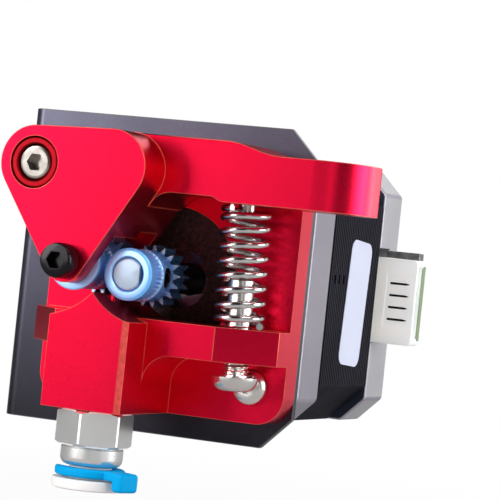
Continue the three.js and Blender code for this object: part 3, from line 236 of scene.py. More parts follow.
def painted_shade_by_height(tree, tint, low, high, share):
    """Painted shade: scales a colour by share at height low, and leaves it whole from height high."""
    height = shader_node(tree, "SeparateXYZ", {"Vector": own_place(tree)}).outputs["Z"]
    strength = ranged(tree, height, share, 1, low * MM, high * MM)
    scaled = shader_node(tree, "VectorMath", {0: tint, "Scale": strength}, operation="SCALE")
    return scaled.outputs["Vector"]


def finish(name, color, metallic, roughness, vary=0.08, cloud=90, grain=5000, depth=0.004,
           stretch=(1, 1, 1), rim=None, fade=None, inputs={}):
    """A surface with cloudy colour, uneven roughness and a fine grain.

    vary is the colour's spread; cloud and grain are the noises' scales; depth is the grain's height in
    millimetres; rim tints it towards its silhouette as a painted sheen; fade = (low z, high z, share)
    darkens it towards the bottom as a painted shade; inputs are further inputs of the shader."""
    smoothest, roughest = 0.85, 1.2
    rim_sheen_width, grain_strength, grain_detail = 0.35, 0.5, 6
    material = bpy.data.materials.new(name)
    material.use_nodes = True
    tree = material.node_tree
    dark = [c * (1 - vary) for c in color]
    light = [min(1, c * (1 + vary)) for c in color]
    tint = mixed(tree, ranged(tree, noise(tree, cloud), 0, 1), (*dark, 1), (*light, 1))
    if rim:
        facing = shader_node(tree, "LayerWeight", {"Blend": rim_sheen_width}).outputs["Facing"]
        tint = mixed(tree, facing, tint, (*rim, 1))
    if fade:
        tint = painted_shade_by_height(tree, tint, *fade)
    fine = noise(tree, grain, stretch, grain_detail)
    bump = shader_node(tree, "Bump", {"Height": fine, "Strength": grain_strength, "Distance": depth * MM})
    feed(tree, tree.nodes["Principled BSDF"], {
        "Base Color": tint,
        "Metallic": metallic,
        "Roughness": ranged(tree, fine, roughness * smoothest, roughness * roughest),
        "Normal": bump.outputs["Normal"],
        **inputs,
    })
    return material


# Emission inputs: a painted glow, for surfaces that should shine brighter than the lamps make them.
def glow(strength, tint=(1, 1, 1)):
    return {"Emission Color": (*tint, 1), "Emission Strength": strength}


RED = finish("red_anodised", (0.92, 0.001, 0.042), 0.97, 0.3, vary=0.05, grain=7000, depth=0.0015,
             inputs={"Coat Weight": 0.15, "Coat Roughness": 0.3})
RED_DARK = finish("red_anodised_dark", (0.5, 0.002, 0.012), 0.8, 0.4, vary=0.1)
# Painted highlight: the bevels of the lever and base take a brighter orange-red that glows a little.
RED_EDGE_HIGHLIGHT = finish("red_anodised_edge_highlight", (1.0, 0.13, 0.09), 0.6, 0.4, vary=0.3, cloud=400,
                  inputs=glow(0.06, (1, 0.08, 0.05)))
# Painted shade: the bracket's black coating darkens towards its bottom, to 0.18 of its colour at z = -25.
SHEET_COAT_SHADED = finish("bracket_coating", (0.14, 0.136, 0.19), 0.7, 0.3, vary=0.08, grain=9000,
                    fade=(-25, 20, 0.18))
# The motor's front face is dark brown: partly its own darker finish, partly painted shade and painted red
# reflection in the window.
MOTOR_FACE_SHADED = finish("motor_face_shaded", (0.1, 0.055, 0.05), 0.4, 0.5, vary=0.5, cloud=1800, grain=2500,
                    depth=0.03)
CAP_SHADE = finish("cap_shade", (0.015, 0.022, 0.045), 0.3, 0.5, vary=0.1)
SHEET_EDGE = finish("bracket_edge", (0.16, 0.165, 0.17), 0.6, 0.4, vary=0.2)
CAST = finish("cast_aluminium", (0.41, 0.39, 0.45), 0.9, 0.38, vary=0.06, grain=6000)
# Painted light: the rear cap is the front cap's cast aluminium, made lighter for the light it catches.
REAR_CAST_LIT = finish("cast_aluminium_rear_lit", (0.56, 0.55, 0.58), 0.8, 0.4, vary=0.05, grain=6000)
RED_MACHINED = finish("red_machined", (1.0, 0.085, 0.07), 0.2, 0.55, vary=0.25, cloud=1500)
CAST_EDGE = finish("cast_aluminium_edge", (0.42, 0.4, 0.46), 0.8, 0.5)
LAMINATION = finish("lamination", (0.009, 0.009, 0.019), 0.3, 0.6, vary=0.4, grain=4000,
                    stretch=(1, 8, 1), inputs={"Specular IOR Level": 0.25})
LAMINATION_GAP = finish("lamination_gap", (0.002, 0.002, 0.004), 0, 0.8, vary=0.3,
                        inputs={"Specular IOR Level": 0.1})
LABEL = finish("label_film", (0.61, 0.645, 0.8), 0, 0.5, vary=0.03)
STEEL = finish("ground_steel", (0.62, 0.61, 0.6), 1, 0.24, stretch=(1, 6, 1))
SOCKET_STEEL = finish("socket_steel", (0.5, 0.46, 0.42), 1, 0.3, vary=0.2, cloud=600)
BRIGHT = finish("bright_steel", (0.78, 0.76, 0.73), 1, 0.22, vary=0.05, depth=0.001)
WIRE = finish("spring_wire", (0.72, 0.71, 0.7), 1, 0.2, vary=0.06, grain=3000, depth=0.001)
# The gear steel turns bright blue towards its silhouette: a painted sheen.
GEAR = finish("gear_steel", (0.36, 0.58, 0.92), 0.5, 0.32, vary=0.08, rim=(0.03, 0.3, 1.0))
# Painted shade: the teeth are a darker copy of the gear steel.
TOOTH_FLANK_SHADE = finish("gear_tooth_flank_shade", (0.07, 0.19, 0.38), 0.6, 0.25, vary=0.2)
TOOTH_FRONT = finish("gear_tooth_front", (0.42, 0.52, 0.68), 0.5, 0.3, vary=0.05)
# Painted highlight: a bright blue copy of the gear steel for the nose's and groove's edges.
GEAR_RIM_HIGHLIGHT = finish("gear_rim_highlight", (0.16, 0.5, 1.0), 0.2, 0.3, vary=0.05)
# The shaft turns pale blue towards its silhouette: a painted sheen.
SHAFT = finish("shaft_steel", (0.36, 0.43, 0.52), 0.4, 0.38, vary=0.06, rim=(0.3, 0.5, 0.85))
BLACK = finish("black_oxide", (0.008, 0.006, 0.008), 0.5, 0.16, vary=0.3, depth=0.001,
               inputs={"Specular IOR Level": 0.3})
SHADOWED = finish("shadowed_steel", (0.01, 0.005, 0.006), 0.4, 0.5, vary=0.2)
NICKEL = finish("nickel_plate", (0.8, 0.8, 0.79), 0.9, 0.22, vary=0.05, grain=2500, depth=0.0006,
                stretch=(1, 1, 12))
# Painted highlight: the hex's edge strips are near white and glow.
NICKEL_EDGE_HIGHLIGHT = finish("nickel_edge_highlight", (0.98, 0.98, 0.97), 0.3, 0.2, vary=0.02, depth=0.0006,
                     inputs=glow(0.25))
COPPER = finish("copper_winding", (0.6, 0.24, 0.09), 0.9, 0.35, vary=0.2)
MAGNET = finish("magnet", (0.12, 0.12, 0.13), 0.6, 0.5, vary=0.2)
RUBBER = finish("seal_rubber", (0.02, 0.02, 0.02), 0, 0.7, vary=0.3)
# Painted light: the nylon glows a little, brighter than its lamps make it.
NYLON = finish("connector_nylon", (0.87, 0.88, 0.86), 0, 0.42, vary=0.02,
               inputs={"Subsurface Weight": 0.2, **glow(0.2, (0.98, 1, 0.97))})
NYLON_GREEN = finish("connector_nylon_end", (0.24, 0.31, 0.18), 0, 0.5, vary=0.05)
# Painted shade and reflection: the nylon latch rib is coloured dark metallic grey.
LATCH_SHADED = finish("connector_latch_shaded", (0.2, 0.21, 0.2), 0.7, 0.35, vary=0.35, cloud=900)
# Painted shade: near black, for the dark housing seen through the slits.
SLIT_SHADE = finish("connector_slit_shade", (0.006, 0.006, 0.007), 0, 0.7, vary=0.2)
# Painted light: the collet glows a little, brighter than its lamps make it.
COLLET_PLASTIC = finish("collet_plastic", (0.74, 0.72, 0.71), 0, 0.45, vary=0.03,
                        inputs=glow(0.06))
CLIP_PLASTIC = finish("clip_plastic", (0.0003, 0.31, 0.65), 0, 0.45, vary=0.05,
                      inputs={"Specular IOR Level": 0.05})


# ---- mesh kit

def piece_from(bm):
    bmesh.ops.recalc_face_normals(bm, faces=bm.faces)
    mesh = bpy.data.meshes.new("piece")
    bm.to_mesh(mesh)
    bm.free()
    obj = bpy.data.objects.new("piece", mesh)
    bpy.context.scene.collection.objects.link(obj)
    return obj


def oriented(axis, u, v, w):
    return {"X": (w, u, v), "Y": (u, w, v), "Z": (u, v, w)}[axis]


def prism(outline, low, high, axis="Y"):
    """An outline drawn in the two other axes, extruded from low to high along axis."""
    bm = bmesh.new()
    ends = [[bm.verts.new(oriented(axis, u, v, w)) for u, v in outline] for w in (low, high)]
    for end in ends:
        bm.faces.new(end)
    count = len(outline)
    for i in range(count):
        j = (i + 1) % count
        bm.faces.new((ends[0][i], ends[0][j], ends[1][j], ends[1][i]))
    return piece_from(bm)


def block(x_low, x_high, y_low, y_high, z_low, z_high):
    corners = [(x_low, y_low), (x_high, y_low), (x_high, y_high), (x_low, y_high)]
    return prism(corners, z_low, z_high, "Z")


def loft(loops):
    """A solid through loops of equally many points, closed at both ends."""
    bm = bmesh.new()
    rings = [[bm.verts.new(spot) for spot in loop] for loop in loops]
    for first, second in zip(rings, rings[1:]):
        for i in range(len(first)):
            j = (i + 1) % len(first)
            bm.faces.new((first[i], first[j], second[j], second[i]))
    bm.faces.new(rings[0])
    bm.faces.new(rings[-1])
    return piece_from(bm)


def turned(rows, axis="Y", centre=(0, 0, 0), angles=48, closed=False):
    """Rows of (radius, distance along axis) turned about it; a radius may be a function of the angle.

    Rows start and end on the axis, or close on themselves."""
    if isinstance(angles, int):
        angles = [2 * math.pi * i / angles for i in range(angles)]
    bm = bmesh.new()
    rings = []
    for radius, along in rows:
        spots = [0] if radius == 0 else angles
        ring = []
        for a in spots:
            r = radius(a) if callable(radius) else radius
            spot = Vector(oriented(axis, r * math.cos(a), r * math.sin(a), along))
            ring.append(bm.verts.new(spot + Vector(centre)))
        rings.append(ring)
    pairs = list(zip(rings, rings[1:] + rings[:1]))
    if not closed:
        pairs.pop()
    for first, second in pairs:
        count = max(len(first), len(second))
        for i in range(count):
            j = (i + 1) % count
            loop = [first[i % len(first)], first[j % len(first)]]
            loop += [second[j % len(second)], second[i % len(second)]]
            loop = list(dict.fromkeys(loop))
            if len(loop) > 2:
                bm.faces.new(loop)
    return piece_from(bm)


def rod(u, v, radius, low, high, axis="Y", angles=40):
    """A plain cutter or pin along axis, through (u, v)."""
    return turned([(0, low), (radius, low), (radius, high), (0, high)], axis,
                  oriented(axis, u, v, 0), angles)


def applied(obj):
    bpy.context.view_layer.update()
    graph = bpy.context.evaluated_depsgraph_get()
    mesh = bpy.data.meshes.new_from_object(obj.evaluated_get(graph), depsgraph=graph)
    obj.modifiers.clear()
    obj.data = mesh
    return obj


def combined(operation, body, tools):
    for tool in tools:
        modifier = body.modifiers.new("solid", "BOOLEAN")
        modifier.operation = operation
        modifier.solver = "EXACT"
        modifier.object = tool
        applied(body)
        bpy.data.objects.remove(tool)
    return body


def cut(body, *tools):
    return combined("DIFFERENCE", body, tools)


def join(body, *tools):
    return combined("UNION", body, tools)


def common(body, *tools):
    return combined("INTERSECT", body, tools)


def edged(obj, look, edge_look=None, width=0.2, segments=2, angle=30):
    """Breaks the sharp edges; the narrow new faces take edge_look.

    The width isn't limited by short edges, or the many short ones would undo the bevel everywhere."""
    obj.data.materials.clear()
    obj.data.materials.append(look)
    if edge_look:
        obj.data.materials.append(edge_look)
    modifier = obj.modifiers.new("edges", "BEVEL")
    modifier.width = width
    modifier.segments = segments
    modifier.limit_method = "ANGLE"
    modifier.angle_limit = math.radians(angle)
    modifier.material = 1 if edge_look else 0
    modifier.miter_outer = "MITER_ARC"
    modifier.use_clamp_overlap = False
    return applied(obj)


def painted(obj, look, inside):
    """Gives look to the faces whose middle, in design millimetres, is inside."""
    obj.data.materials.append(look)
    for face in obj.data.polygons:
        if inside(face.center):
            face.material_index = len(obj.data.materials) - 1
    return obj


def moved(obj, x=0, y=0, z=0, turn=0):
    """Turns a piece about Z, then shifts it."""
    obj.data.transform(Matrix.Translation((x, y, z)) @ Matrix.Rotation(turn, 4, "Z"))
    return obj


def place(obj, node, look=None, others=(), smooth=35):
    """Puts a finished piece into the row frame, in place of its CAD node."""
    obj.name = obj.data.name = node + "_fine"
    if look:
        obj.data.materials.clear()
        obj.data.materials.append(look)
    obj.data.transform(Matrix.Translation((0, FACE_Y * MM, 0)) @ Matrix.Scale(MM, 4))
    obj.data.polygons.foreach_set("use_smooth", [True] * len(obj.data.polygons))
    obj.data.set_sharp_from_angle(angle=math.radians(smooth))
    normals = obj.modifiers.new("normals", "WEIGHTED_NORMAL")
    normals.keep_sharp = True
    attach(obj, BODY_OF[node])
    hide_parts(node, *others)
    return obj


# ---- outlines

def arc(u, v, radius, start, end, steps=12):
    """Points on a circle's arc; start and end are in degrees."""
    turns = [math.radians(start + (end - start) * i / steps) for i in range(steps + 1)]
    return [(u + radius * math.cos(a), v + radius * math.sin(a)) for a in turns]


def curve(p0, p1, p2, p3, steps=16):
    """Points after p0 on a cubic curve."""
    points = []
    for i in range(1, steps + 1):
        t = i / steps
        weights = ((1 - t) ** 3, 3 * t * (1 - t) ** 2, 3 * t * t * (1 - t), t ** 3)
        points.append(tuple(sum(w * p[k] for w, p in zip(weights, (p0, p1, p2, p3))) for k in (0, 1)))
    return points


def bent(p0, p1, p2, steps=16):
    """Points after p0 on a quadratic curve."""
    q1 = [p0[k] + (p1[k] - p0[k]) * 2 / 3 for k in (0, 1)]
    q2 = [p2[k] + (p1[k] - p2[k]) * 2 / 3 for k in (0, 1)]
    return curve(p0, q1, q2, p2, steps)


def rounded(u_low, u_high, v_low, v_high, radius, steps=10):
    return (
        arc(u_high - radius, v_low + radius, radius, -90, 0, steps)
        + arc(u_high - radius, v_high - radius, radius, 0, 90, steps)
        + arc(u_low + radius, v_high - radius, radius, 90, 180, steps)
        + arc(u_low + radius, v_low + radius, radius, 180, 270, steps)
    )


def around(circles, steps=20):
    """The outline round circles (u, v, radius) that are listed counter-clockwise."""
    count = len(circles)
    normals = []
    for i, (u, v, radius) in enumerate(circles):
        nu, nv, nr = circles[(i + 1) % count]
        lean = math.asin((radius - nr) / math.hypot(nu - u, nv - v))
        normals.append(math.degrees(math.atan2(nv - v, nu - u) + lean) - 90)
    points = []
    for i, (u, v, radius) in enumerate(circles):
        start, end = normals[i - 1], normals[i]
        while end < start:
            end += 360
        points += arc(u, v, radius, start, end, steps)
    return points


def cut_square(half, chamfer):
    c = half - chamfer
    return [(-c, -half), (c, -half), (half, -c), (half, c), (c, half), (-c, half), (-half, c), (-half, -c)]


def hexagon(across_flats, turn=0.0):
    radius = across_flats / math.sqrt(3)
    return [(radius * math.cos(turn + i * math.pi / 3), radius * math.sin(turn + i * math.pi / 3))
            for i in range(6)]


def shifted(outline, u, v):
    return [(a + u, b + v) for a, b in outline]


# ---- lever

def ear_outline(inset):
    return around([
        (IDLER_X, IDLER_Z, EAR_TIP_RADIUS - inset),
        (EAR_RIGHT_X, ARM_TOP_Z - EAR_RADIUS, EAR_RADIUS - inset),
        (PIVOT_X, PIVOT_Z, EAR_RADIUS),
    ])


def arm_elevation():
    bend_start, bend_end = 12.5, 22
    bend_middle = (bend_start + bend_end) / 2
    pad_x, step_x, web_end_x = 13.2, 12, 10.6
    web_start_x, web_bend_x, root_x = 4.6, 2.34, 0.9
    past_end = HANDLE_END_X + 2
    inside_ear = EAR_RIGHT_X - 3
    points = [(EAR_RIGHT_X, ARM_TOP_Z), (bend_start, ARM_TOP_Z)]
    points += curve((bend_start, ARM_TOP_Z), (bend_middle - 1, ARM_TOP_Z),
                    (bend_middle + 1, HANDLE_TOP_Z), (bend_end, HANDLE_TOP_Z))
    points += [(past_end, HANDLE_TOP_Z), (past_end, ARM_BOTTOM_Z), (pad_x, ARM_BOTTOM_Z)]
    points += curve((pad_x, ARM_BOTTOM_Z), (step_x, ARM_BOTTOM_Z), (step_x, ARM_WEB_Z),
                    (web_end_x, ARM_WEB_Z), 8)
    points += [(web_start_x, ARM_WEB_Z)]
    points += bent((web_start_x, ARM_WEB_Z), (web_bend_x, ARM_WEB_Z), (root_x, ARM_ROOT_Z), 10)
    points += [(inside_ear, ARM_ROOT_Z)]
    return points


def arm_plan():
    corner_x, corner_y, back = 27, -10.8, 2.45
    inside_ear = EAR_RIGHT_X - 4.5
    points = [(inside_ear, ARM_FRONT_Y)]
    steps = 28
    for i in range(steps + 1):
        a = -math.pi / 2 + math.pi / 2 * i / steps
        points.append((corner_x + (HANDLE_END_X - corner_x) * math.cos(a),
                       corner_y + (corner_y - ARM_FRONT_Y) * math.sin(a)))
    points += arc(HANDLE_END_X - back, LEVER_BACK_Y - back, back, 0, 90, 10)
    points += [(inside_ear, LEVER_BACK_Y)]
    return points


def build_lever():
    pocket_front, pocket_step, pocket_back = -22.45, -14.1, -7.8
    pocket_top, pocket_top_at_teeth = 5.45, 6.6
    filament_hole, pin_hole, pin_depth = 1.5, 1.45, 2.6
    arm = common(prism(arm_elevation(), ARM_FRONT_Y, LEVER_BACK_Y),
                 prism(arm_plan(), ARM_ROOT_Z - 2, ARM_TOP_Z + 2, "Z"))
    body = join(
        prism(ear_outline(0), EAR_FRONT_Y, BRIDGE_BACK_Y),
        prism(ear_outline(0.35), BRIDGE_BACK_Y, LEVER_BACK_Y),
        arm,
    )
    cut(
        body,
        block(-30, 10, pocket_front, pocket_step, -10, pocket_top),
        block(-30, 10, pocket_step - 0.1, pocket_back, -10, pocket_top_at_teeth),
        rod(PIVOT_X, PIVOT_Z, PIVOT_BORE, EAR_FRONT_Y - 1, LEVER_BACK_Y + 1, angles=64),
        rod(IDLER_X, IDLER_Z, SCREW_HOLE, EAR_FRONT_Y - 1, LEVER_BACK_Y + 1),
        rod(FILAMENT_X, FILAMENT_Y, filament_hole, 0, ARM_TOP_Z + 1, "Z"),
        rod(spring_axis_x(ARM_BOTTOM_Z), SPRING_Y, pin_hole, ARM_BOTTOM_Z - 1,
            ARM_BOTTOM_Z + pin_depth, "Z"),
    )
    place(edged(body, RED, RED_EDGE_HIGHLIGHT, 0.11), "idler_lever")


def build_pivot():
    radius = PIVOT_BORE - 0.2
    front, back = EAR_FRONT_Y + 0.1, PLATE_FRONT_Y - 0.05
    floor = front + 3.3
    bushing = turned([
        (3.05, front), (radius - 0.15, front), (radius, front + 0.15), (radius, back),
        (SCREW_HOLE, back), (SCREW_HOLE, floor), (2.85, floor), (2.85, front + 0.35),
    ], centre=(PIVOT_X, 0, PIVOT_Z), angles=72, closed=True)
    place(bushing, "pivot_bushing", RED_DARK)


# ---- screws

def hex_socket(across_flats, front, depth):
    return prism(hexagon(across_flats), front - 1, front + depth)


def threaded(radius, depth, pitch, low, high):
    """Rows of a screw thread between low and high; the ridge winds once per pitch."""
    def ridge(along):
        fade = min(1, (along - low) / pitch, (high - along) / pitch)

        def at(angle):
            phase = (along / pitch - angle / (2 * math.pi)) % 1
            return radius - depth * max(0, fade) * abs(2 * phase - 1)
        return at
    steps = int((high - low) / pitch * 10)
    return [(ridge(low + (high - low) * i / steps), low + (high - low) * i / steps)
            for i in range(steps + 1)]


def cap_screw(length, knurl=0.05):
    """M3 socket cap screw along Y, its seat at y = 0; the head's side is knurled."""
    head, height, shank = 2.7, 3, 1.5
    ridges = 40

    def grip(angle):
        return head - knurl * (1 + math.cos(ridges * angle))
    screw = turned([
        (0, -height), (head - 0.55, -height), (head - 0.25, -height + 0.1), (head - 0.08, -height + 0.35),
        (grip, -height + 0.5), (grip, -0.35), (head - 0.1, -0.2), (head - 0.15, 0), (shank, 0),
        (shank, length - 0.4), (shank - 0.4, length), (0, length),
    ], angles=ridges * 4)
    return cut(screw, hex_socket(2.5, -height, 1.7))


def dome(radius, height, low, rim=0.35, steps=9):
    """Rows of a button head from its flat top to its rim, which is a short cylinder."""
    flat = radius * 0.5
    rows = []
    for i in range(steps + 1):
        a = math.pi / 2 * i / steps
        rows.append((flat + (radius - flat) * math.sin(a), low + (height - rim) * (1 - math.cos(a))))
    return rows


def button_screw(length):
    """M3 button screw along Y, its seat at y = 0."""
    radius, height, shank = 2.85, 1.65, 1.5
    screw = turned([(0, -height), *dome(radius, height, -height), (radius, 0), (shank, 0),
                    (shank, length), (0, length)], angles=64)
    return cut(screw, hex_socket(2, -height, 1.1))


def sunk_screw(length):
    screw = turned([(0, 0), (2.65, 0), (2.8, 0.12), (2.8, 0.3), (1.5, 1.7), (1.5, length), (0, length)],
                   angles=48)
    return cut(screw, prism(hexagon(2), -1, 1))


def case_screw():
    height, length, slot, reach = 2, 31, 0.3, 1.6
    screw = turned([
        (0, -length), (1.4, -length), (1.4, 0), (2.6, 0), (2.6, height * 0.45), (2.45, height * 0.75),
        (2.1, height * 0.95), (1.7, height), (0, height),
    ], angles=48)
    return cut(screw, block(-reach, reach, height - 1, height + 1, -slot, slot),
               block(-slot, slot, height - 1, height + 1, -reach, reach))


def build_screws():
    seat = PLATE_FRONT_Y - 0.05
    depth = 4
    for node, x in (("base_screw_lower_right", HOLE_OFFSET), ("base_screw_lower_left", -HOLE_OFFSET)):
        place(moved(button_screw(depth - seat), x, seat, -HOLE_OFFSET), node, BRIGHT)
    place(moved(sunk_screw(depth - seat - 0.15), HOLE_OFFSET, seat + 0.15, HOLE_OFFSET),
          "base_screw_upper_right", BRIGHT)
    bolt_seat = EAR_FRONT_Y + 3.35
    place(moved(cap_screw(depth - bolt_seat, 0.02), PIVOT_X, bolt_seat, PIVOT_Z),
          "pivot_screw", SOCKET_STEEL, smooth=15)
    axle_seat = EAR_FRONT_Y - 0.05
    place(moved(cap_screw(LEVER_BACK_Y - 0.15 - axle_seat), IDLER_X, axle_seat, IDLER_Z),
          "idler_axle_screw", BLACK)
    for i, (x, z) in enumerate(CORNERS):
        place(moved(case_screw(), x, MOTOR_LENGTH - 2.45, z), f"motor_case_screw_{i + 1}", STEEL)


# ---- spring and tension screw

def spring_axis_x(z):
    """Where the leaning spring axis is at a height."""
    return SPRING_X - math.tan(SPRING_LEAN) * (z - LEDGE_MIDDLE_Z)


def spring_point(turn, low, high):
    """Closed end turns, and even turns between them."""
    pitch = (high - low - 2 * SPRING_END_PITCH) / (SPRING_TURNS - 2)
    z = low + min(turn, 1) * SPRING_END_PITCH
    z += max(0, min(turn, SPRING_TURNS - 1) - 1) * pitch
    z += max(0, turn - (SPRING_TURNS - 1)) * SPRING_END_PITCH
    a = 2 * math.pi * turn
    return Vector((spring_axis_x(z) + SPRING_RADIUS * math.cos(a),
                   SPRING_Y + SPRING_RADIUS * math.sin(a), z))


def build_spring():
    margin = WIRE_RADIUS + 0.05
    low, high = LEDGE_TOP_Z + margin, ARM_BOTTOM_Z - margin
    around_wire, per_turn = 16, 44
    steps = int(SPRING_TURNS * per_turn)
    section = [math.radians(360 * k / around_wire) for k in range(around_wire)]
    up = Vector((0, 0, 1))
    loops = []
    for i in range(steps + 1):
        turn = SPRING_TURNS * i / steps
        spot = spring_point(turn, low, high)
        out = Vector((math.cos(2 * math.pi * turn), math.sin(2 * math.pi * turn), 0))
        loops.append([spot + WIRE_RADIUS * (math.cos(a) * out + math.sin(a) * up) for a in section])
    spring = place(loft(loops), "spring", WIRE)
    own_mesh(spring)


def build_tension_screw():
    tip, seat, top = 1.2, -13.9, -16.1
    head, shank, thread_depth, thread_pitch = 3.6, 2.05, 0.28, 0.7
    rows = [(0, top), *dome(head, seat - top, top, 0.12, 12), (head, seat - 0.05),
            (head - 0.08, seat), (shank, seat)]
    rows += threaded(shank, thread_depth, thread_pitch, seat + 0.02, LEDGE_TOP_Z + 0.4)
    rows += [(shank, LEDGE_TOP_Z + 0.6), (shank, tip - 0.4), (shank - 0.4, tip), (0, tip)]
    screw = turned(rows, "Z", (SPRING_X, SPRING_Y, 0), 64)
    socket = prism(shifted(hexagon(2.5, 0.2), SPRING_X, SPRING_Y), top - 1, top + 1.3, "Z")
    cut(screw, socket)
    middle = Matrix.Translation((SPRING_X, SPRING_Y, LEDGE_MIDDLE_Z))
    screw.data.transform(middle @ Matrix.Rotation(-SPRING_LEAN, 4, "Y") @ middle.inverted())
    place(screw, "tension_screw", BRIGHT)
    pin_low, pin_high = cad("spring_locating_pin")
    pin = turned([(0, pin_low.z), (0.95, pin_low.z), (1.25, pin_low.z + 0.15), (1.3, pin_low.z + 0.4),
                  (1.3, pin_high.z), (0, pin_high.z)], "Z", (spring_axis_x(ARM_BOTTOM_Z), SPRING_Y, 0))
    place(pin, "spring_locating_pin", BRIGHT)


# ---- gears and shaft

def gear(bore, first_tooth):
    """Hobbed drive wheel: chamfered nose, knurled groove, flange, then teeth with flutes in front."""
    pitch = 2 * math.pi / TEETH
    tip_angle, root_angle = TIP_HALF_WIDTH / TIP_RADIUS, ROOT_HALF_WIDTH / ROOT_RADIUS
    per_tooth = 16
    offsets = [pitch * (j / per_tooth - 0.5) for j in range(per_tooth)]
    offsets += [-root_angle, -tip_angle, tip_angle, root_angle]
    offsets = sorted(offsets)
    angles = [first_tooth + k * pitch + offset for k in range(TEETH) for offset in offsets]

    def from_tooth(angle):
        return abs((angle - first_tooth + pitch / 2) % pitch - pitch / 2)

    def gap_share(angle):
        """0 on a tooth's crest, 1 in the gap."""
        return min(1, max(0, (from_tooth(angle) - tip_angle) / (root_angle - tip_angle)))

    def tooth(angle):
        return TIP_RADIUS - (TIP_RADIUS - ROOT_RADIUS) * gap_share(angle)

    def flute(depth):
        return lambda angle: GEAR_RADIUS - depth * (gap_share(angle) > 0.99)

    def knurled(radius, depth):
        return lambda angle: radius - depth * abs(2 * ((from_tooth(angle) / pitch * 2) % 1) - 1)

    rows = [(bore, 0.2), (bore + 0.2, 0), (GEAR_RADIUS - 0.42, 0), (GEAR_RADIUS - 0.3, 0.04),
            (GEAR_RADIUS, 0.34), (GEAR_RADIUS, HOB_CENTRE - HOB_HALF_WIDTH - 0.15)]
    steps = 12
    for i in range(steps + 1):
        t = -1 + 2 * i / steps
        radius = GEAR_RADIUS - HOB_DEPTH * math.sqrt(1 - t * t)
        rows.append((knurled(radius, KNURL_DEPTH * (1 - t ** 6)), HOB_CENTRE + t * HOB_HALF_WIDTH))
    rows += [(GEAR_RADIUS, HOB_CENTRE + HOB_HALF_WIDTH + 0.15), (GEAR_RADIUS, FLUTE_START)]
    rows += [(flute(0.12), FLUTE_START + 0.5), (flute(0.3), TOOTH_START)]
    rows += [(lambda angle: tooth(angle) - 0.12 * (1 - gap_share(angle)), TOOTH_START + 0.01)]
    rows += [(tooth, TOOTH_START + 0.16), (tooth, GEAR_LENGTH - 0.15)]
    rows += [(lambda angle: tooth(angle) - 0.1, GEAR_LENGTH), (bore + 0.2, GEAR_LENGTH)]
    rows += [(bore, GEAR_LENGTH - 0.2)]
    rows = [(radius, SHAFT_FRONT_Y + s) for radius, s in rows]
    wheel = turned(rows, angles=angles, closed=True)
    wheel.data.materials.append(GEAR)
    groove = SHAFT_FRONT_Y + HOB_CENTRE
    # The nose's and groove's edges take the painted highlight.
    painted(wheel, GEAR_RIM_HIGHLIGHT, lambda c: math.hypot(c.x, c.z) > GEAR_RADIUS - 0.45 and (
        c.y < SHAFT_FRONT_Y + 0.36 or abs(abs(c.y - groove) - HOB_HALF_WIDTH - 0.1) < 0.12))
    # The teeth take the painted shade.
    painted(wheel, TOOTH_FLANK_SHADE, lambda c: c.y > SHAFT_FRONT_Y + TOOTH_START + 0.1)
    return painted(wheel, TOOTH_FRONT, lambda c: abs(c.y - SHAFT_FRONT_Y - TOOTH_START - 0.05) < 0.1)


def build_drive():
    line = math.atan2(IDLER_Z, IDLER_X)
    y = SHAFT_FRONT_Y + SET_SCREW_AT
    wheel = cut(gear(SHAFT_RADIUS + 0.1, line), rod(y, 0, 1.62, 1, 6, "X", 32))
    place(wheel, "drive_gear", smooth=28)
    screw = cut(rod(y, 0, 1.5, SHAFT_FLAT + 0.05, GEAR_RADIUS - 0.35, "X", 32),
                prism(shifted(hexagon(1.5), y, 0), GEAR_RADIUS - 1.4, GEAR_RADIUS + 1, "X"))
    place(edged(screw, BLACK, BLACK, 0.12), "drive_gear_set_screw")
    end = cad("motor_shaft")[1].y
    shaft = turned([
        (0, SHAFT_FRONT_Y), (SHAFT_RADIUS - 0.25, SHAFT_FRONT_Y), (SHAFT_RADIUS, SHAFT_FRONT_Y + 0.25),
        (SHAFT_RADIUS, SHAFT_FRONT_Y + TOOTH_START), (SHAFT_RADIUS, end - 0.3), (SHAFT_RADIUS - 0.3, end),
        (0, end),
    ], angles=72)
    cut(shaft, block(SHAFT_FLAT, 4, SHAFT_FRONT_Y - 1, SHAFT_FRONT_Y + 15, -4, 4))
    edged(shaft, SHAFT, SHAFT, 0.08)
    painted(shaft, SHADOWED, lambda c: c.y > SHAFT_FRONT_Y + TOOTH_START)
    place(shaft, "motor_shaft")


def build_idler():
    pitch = 2 * math.pi / TEETH
    line = math.atan2(IDLER_Z, IDLER_X)
    wheel = gear(2.7, line + math.pi + pitch / 2 + IDLER_PHASE)
    place(moved(wheel, IDLER_X, 0, IDLER_Z), "idler_gear", smooth=28)
    for node in ("thrust_washer_front", "thrust_washer_rear"):
        low, high = cad(node)
        washer = turned([
            (2.3, low.y), (4.1, low.y), (4.3, low.y + 0.12), (4.3, high.y - 0.12), (4.1, high.y),
            (2.3, high.y), (1.75, high.y - 0.3), (1.75, low.y + 0.3),
        ], centre=(IDLER_X, 0, IDLER_Z), angles=64, closed=True)
        place(washer, node, GEAR)


# ---- base

def crown_outline():
    pull = 0.4 * CROWN_HOLLOW
    low = (CROWN_Z + BLOCK_SHOULDER_Z) / 2 - CROWN_HOLLOW / 2
    points = [(BLOCK_LEFT_X, -HALF_SIDE), (BLOCK_RIGHT_X, -HALF_SIDE), (BLOCK_RIGHT_X, BLOCK_SHOULDER_Z)]
    points += bent(points[-1], ((CROWN_X + BLOCK_RIGHT_X) / 2 - pull, low), (CROWN_X, CROWN_Z))
    points += bent(points[-1], ((CROWN_X + BLOCK_LEFT_X) / 2 + pull, low), (BLOCK_LEFT_X, BLOCK_SHOULDER_Z))
    return points


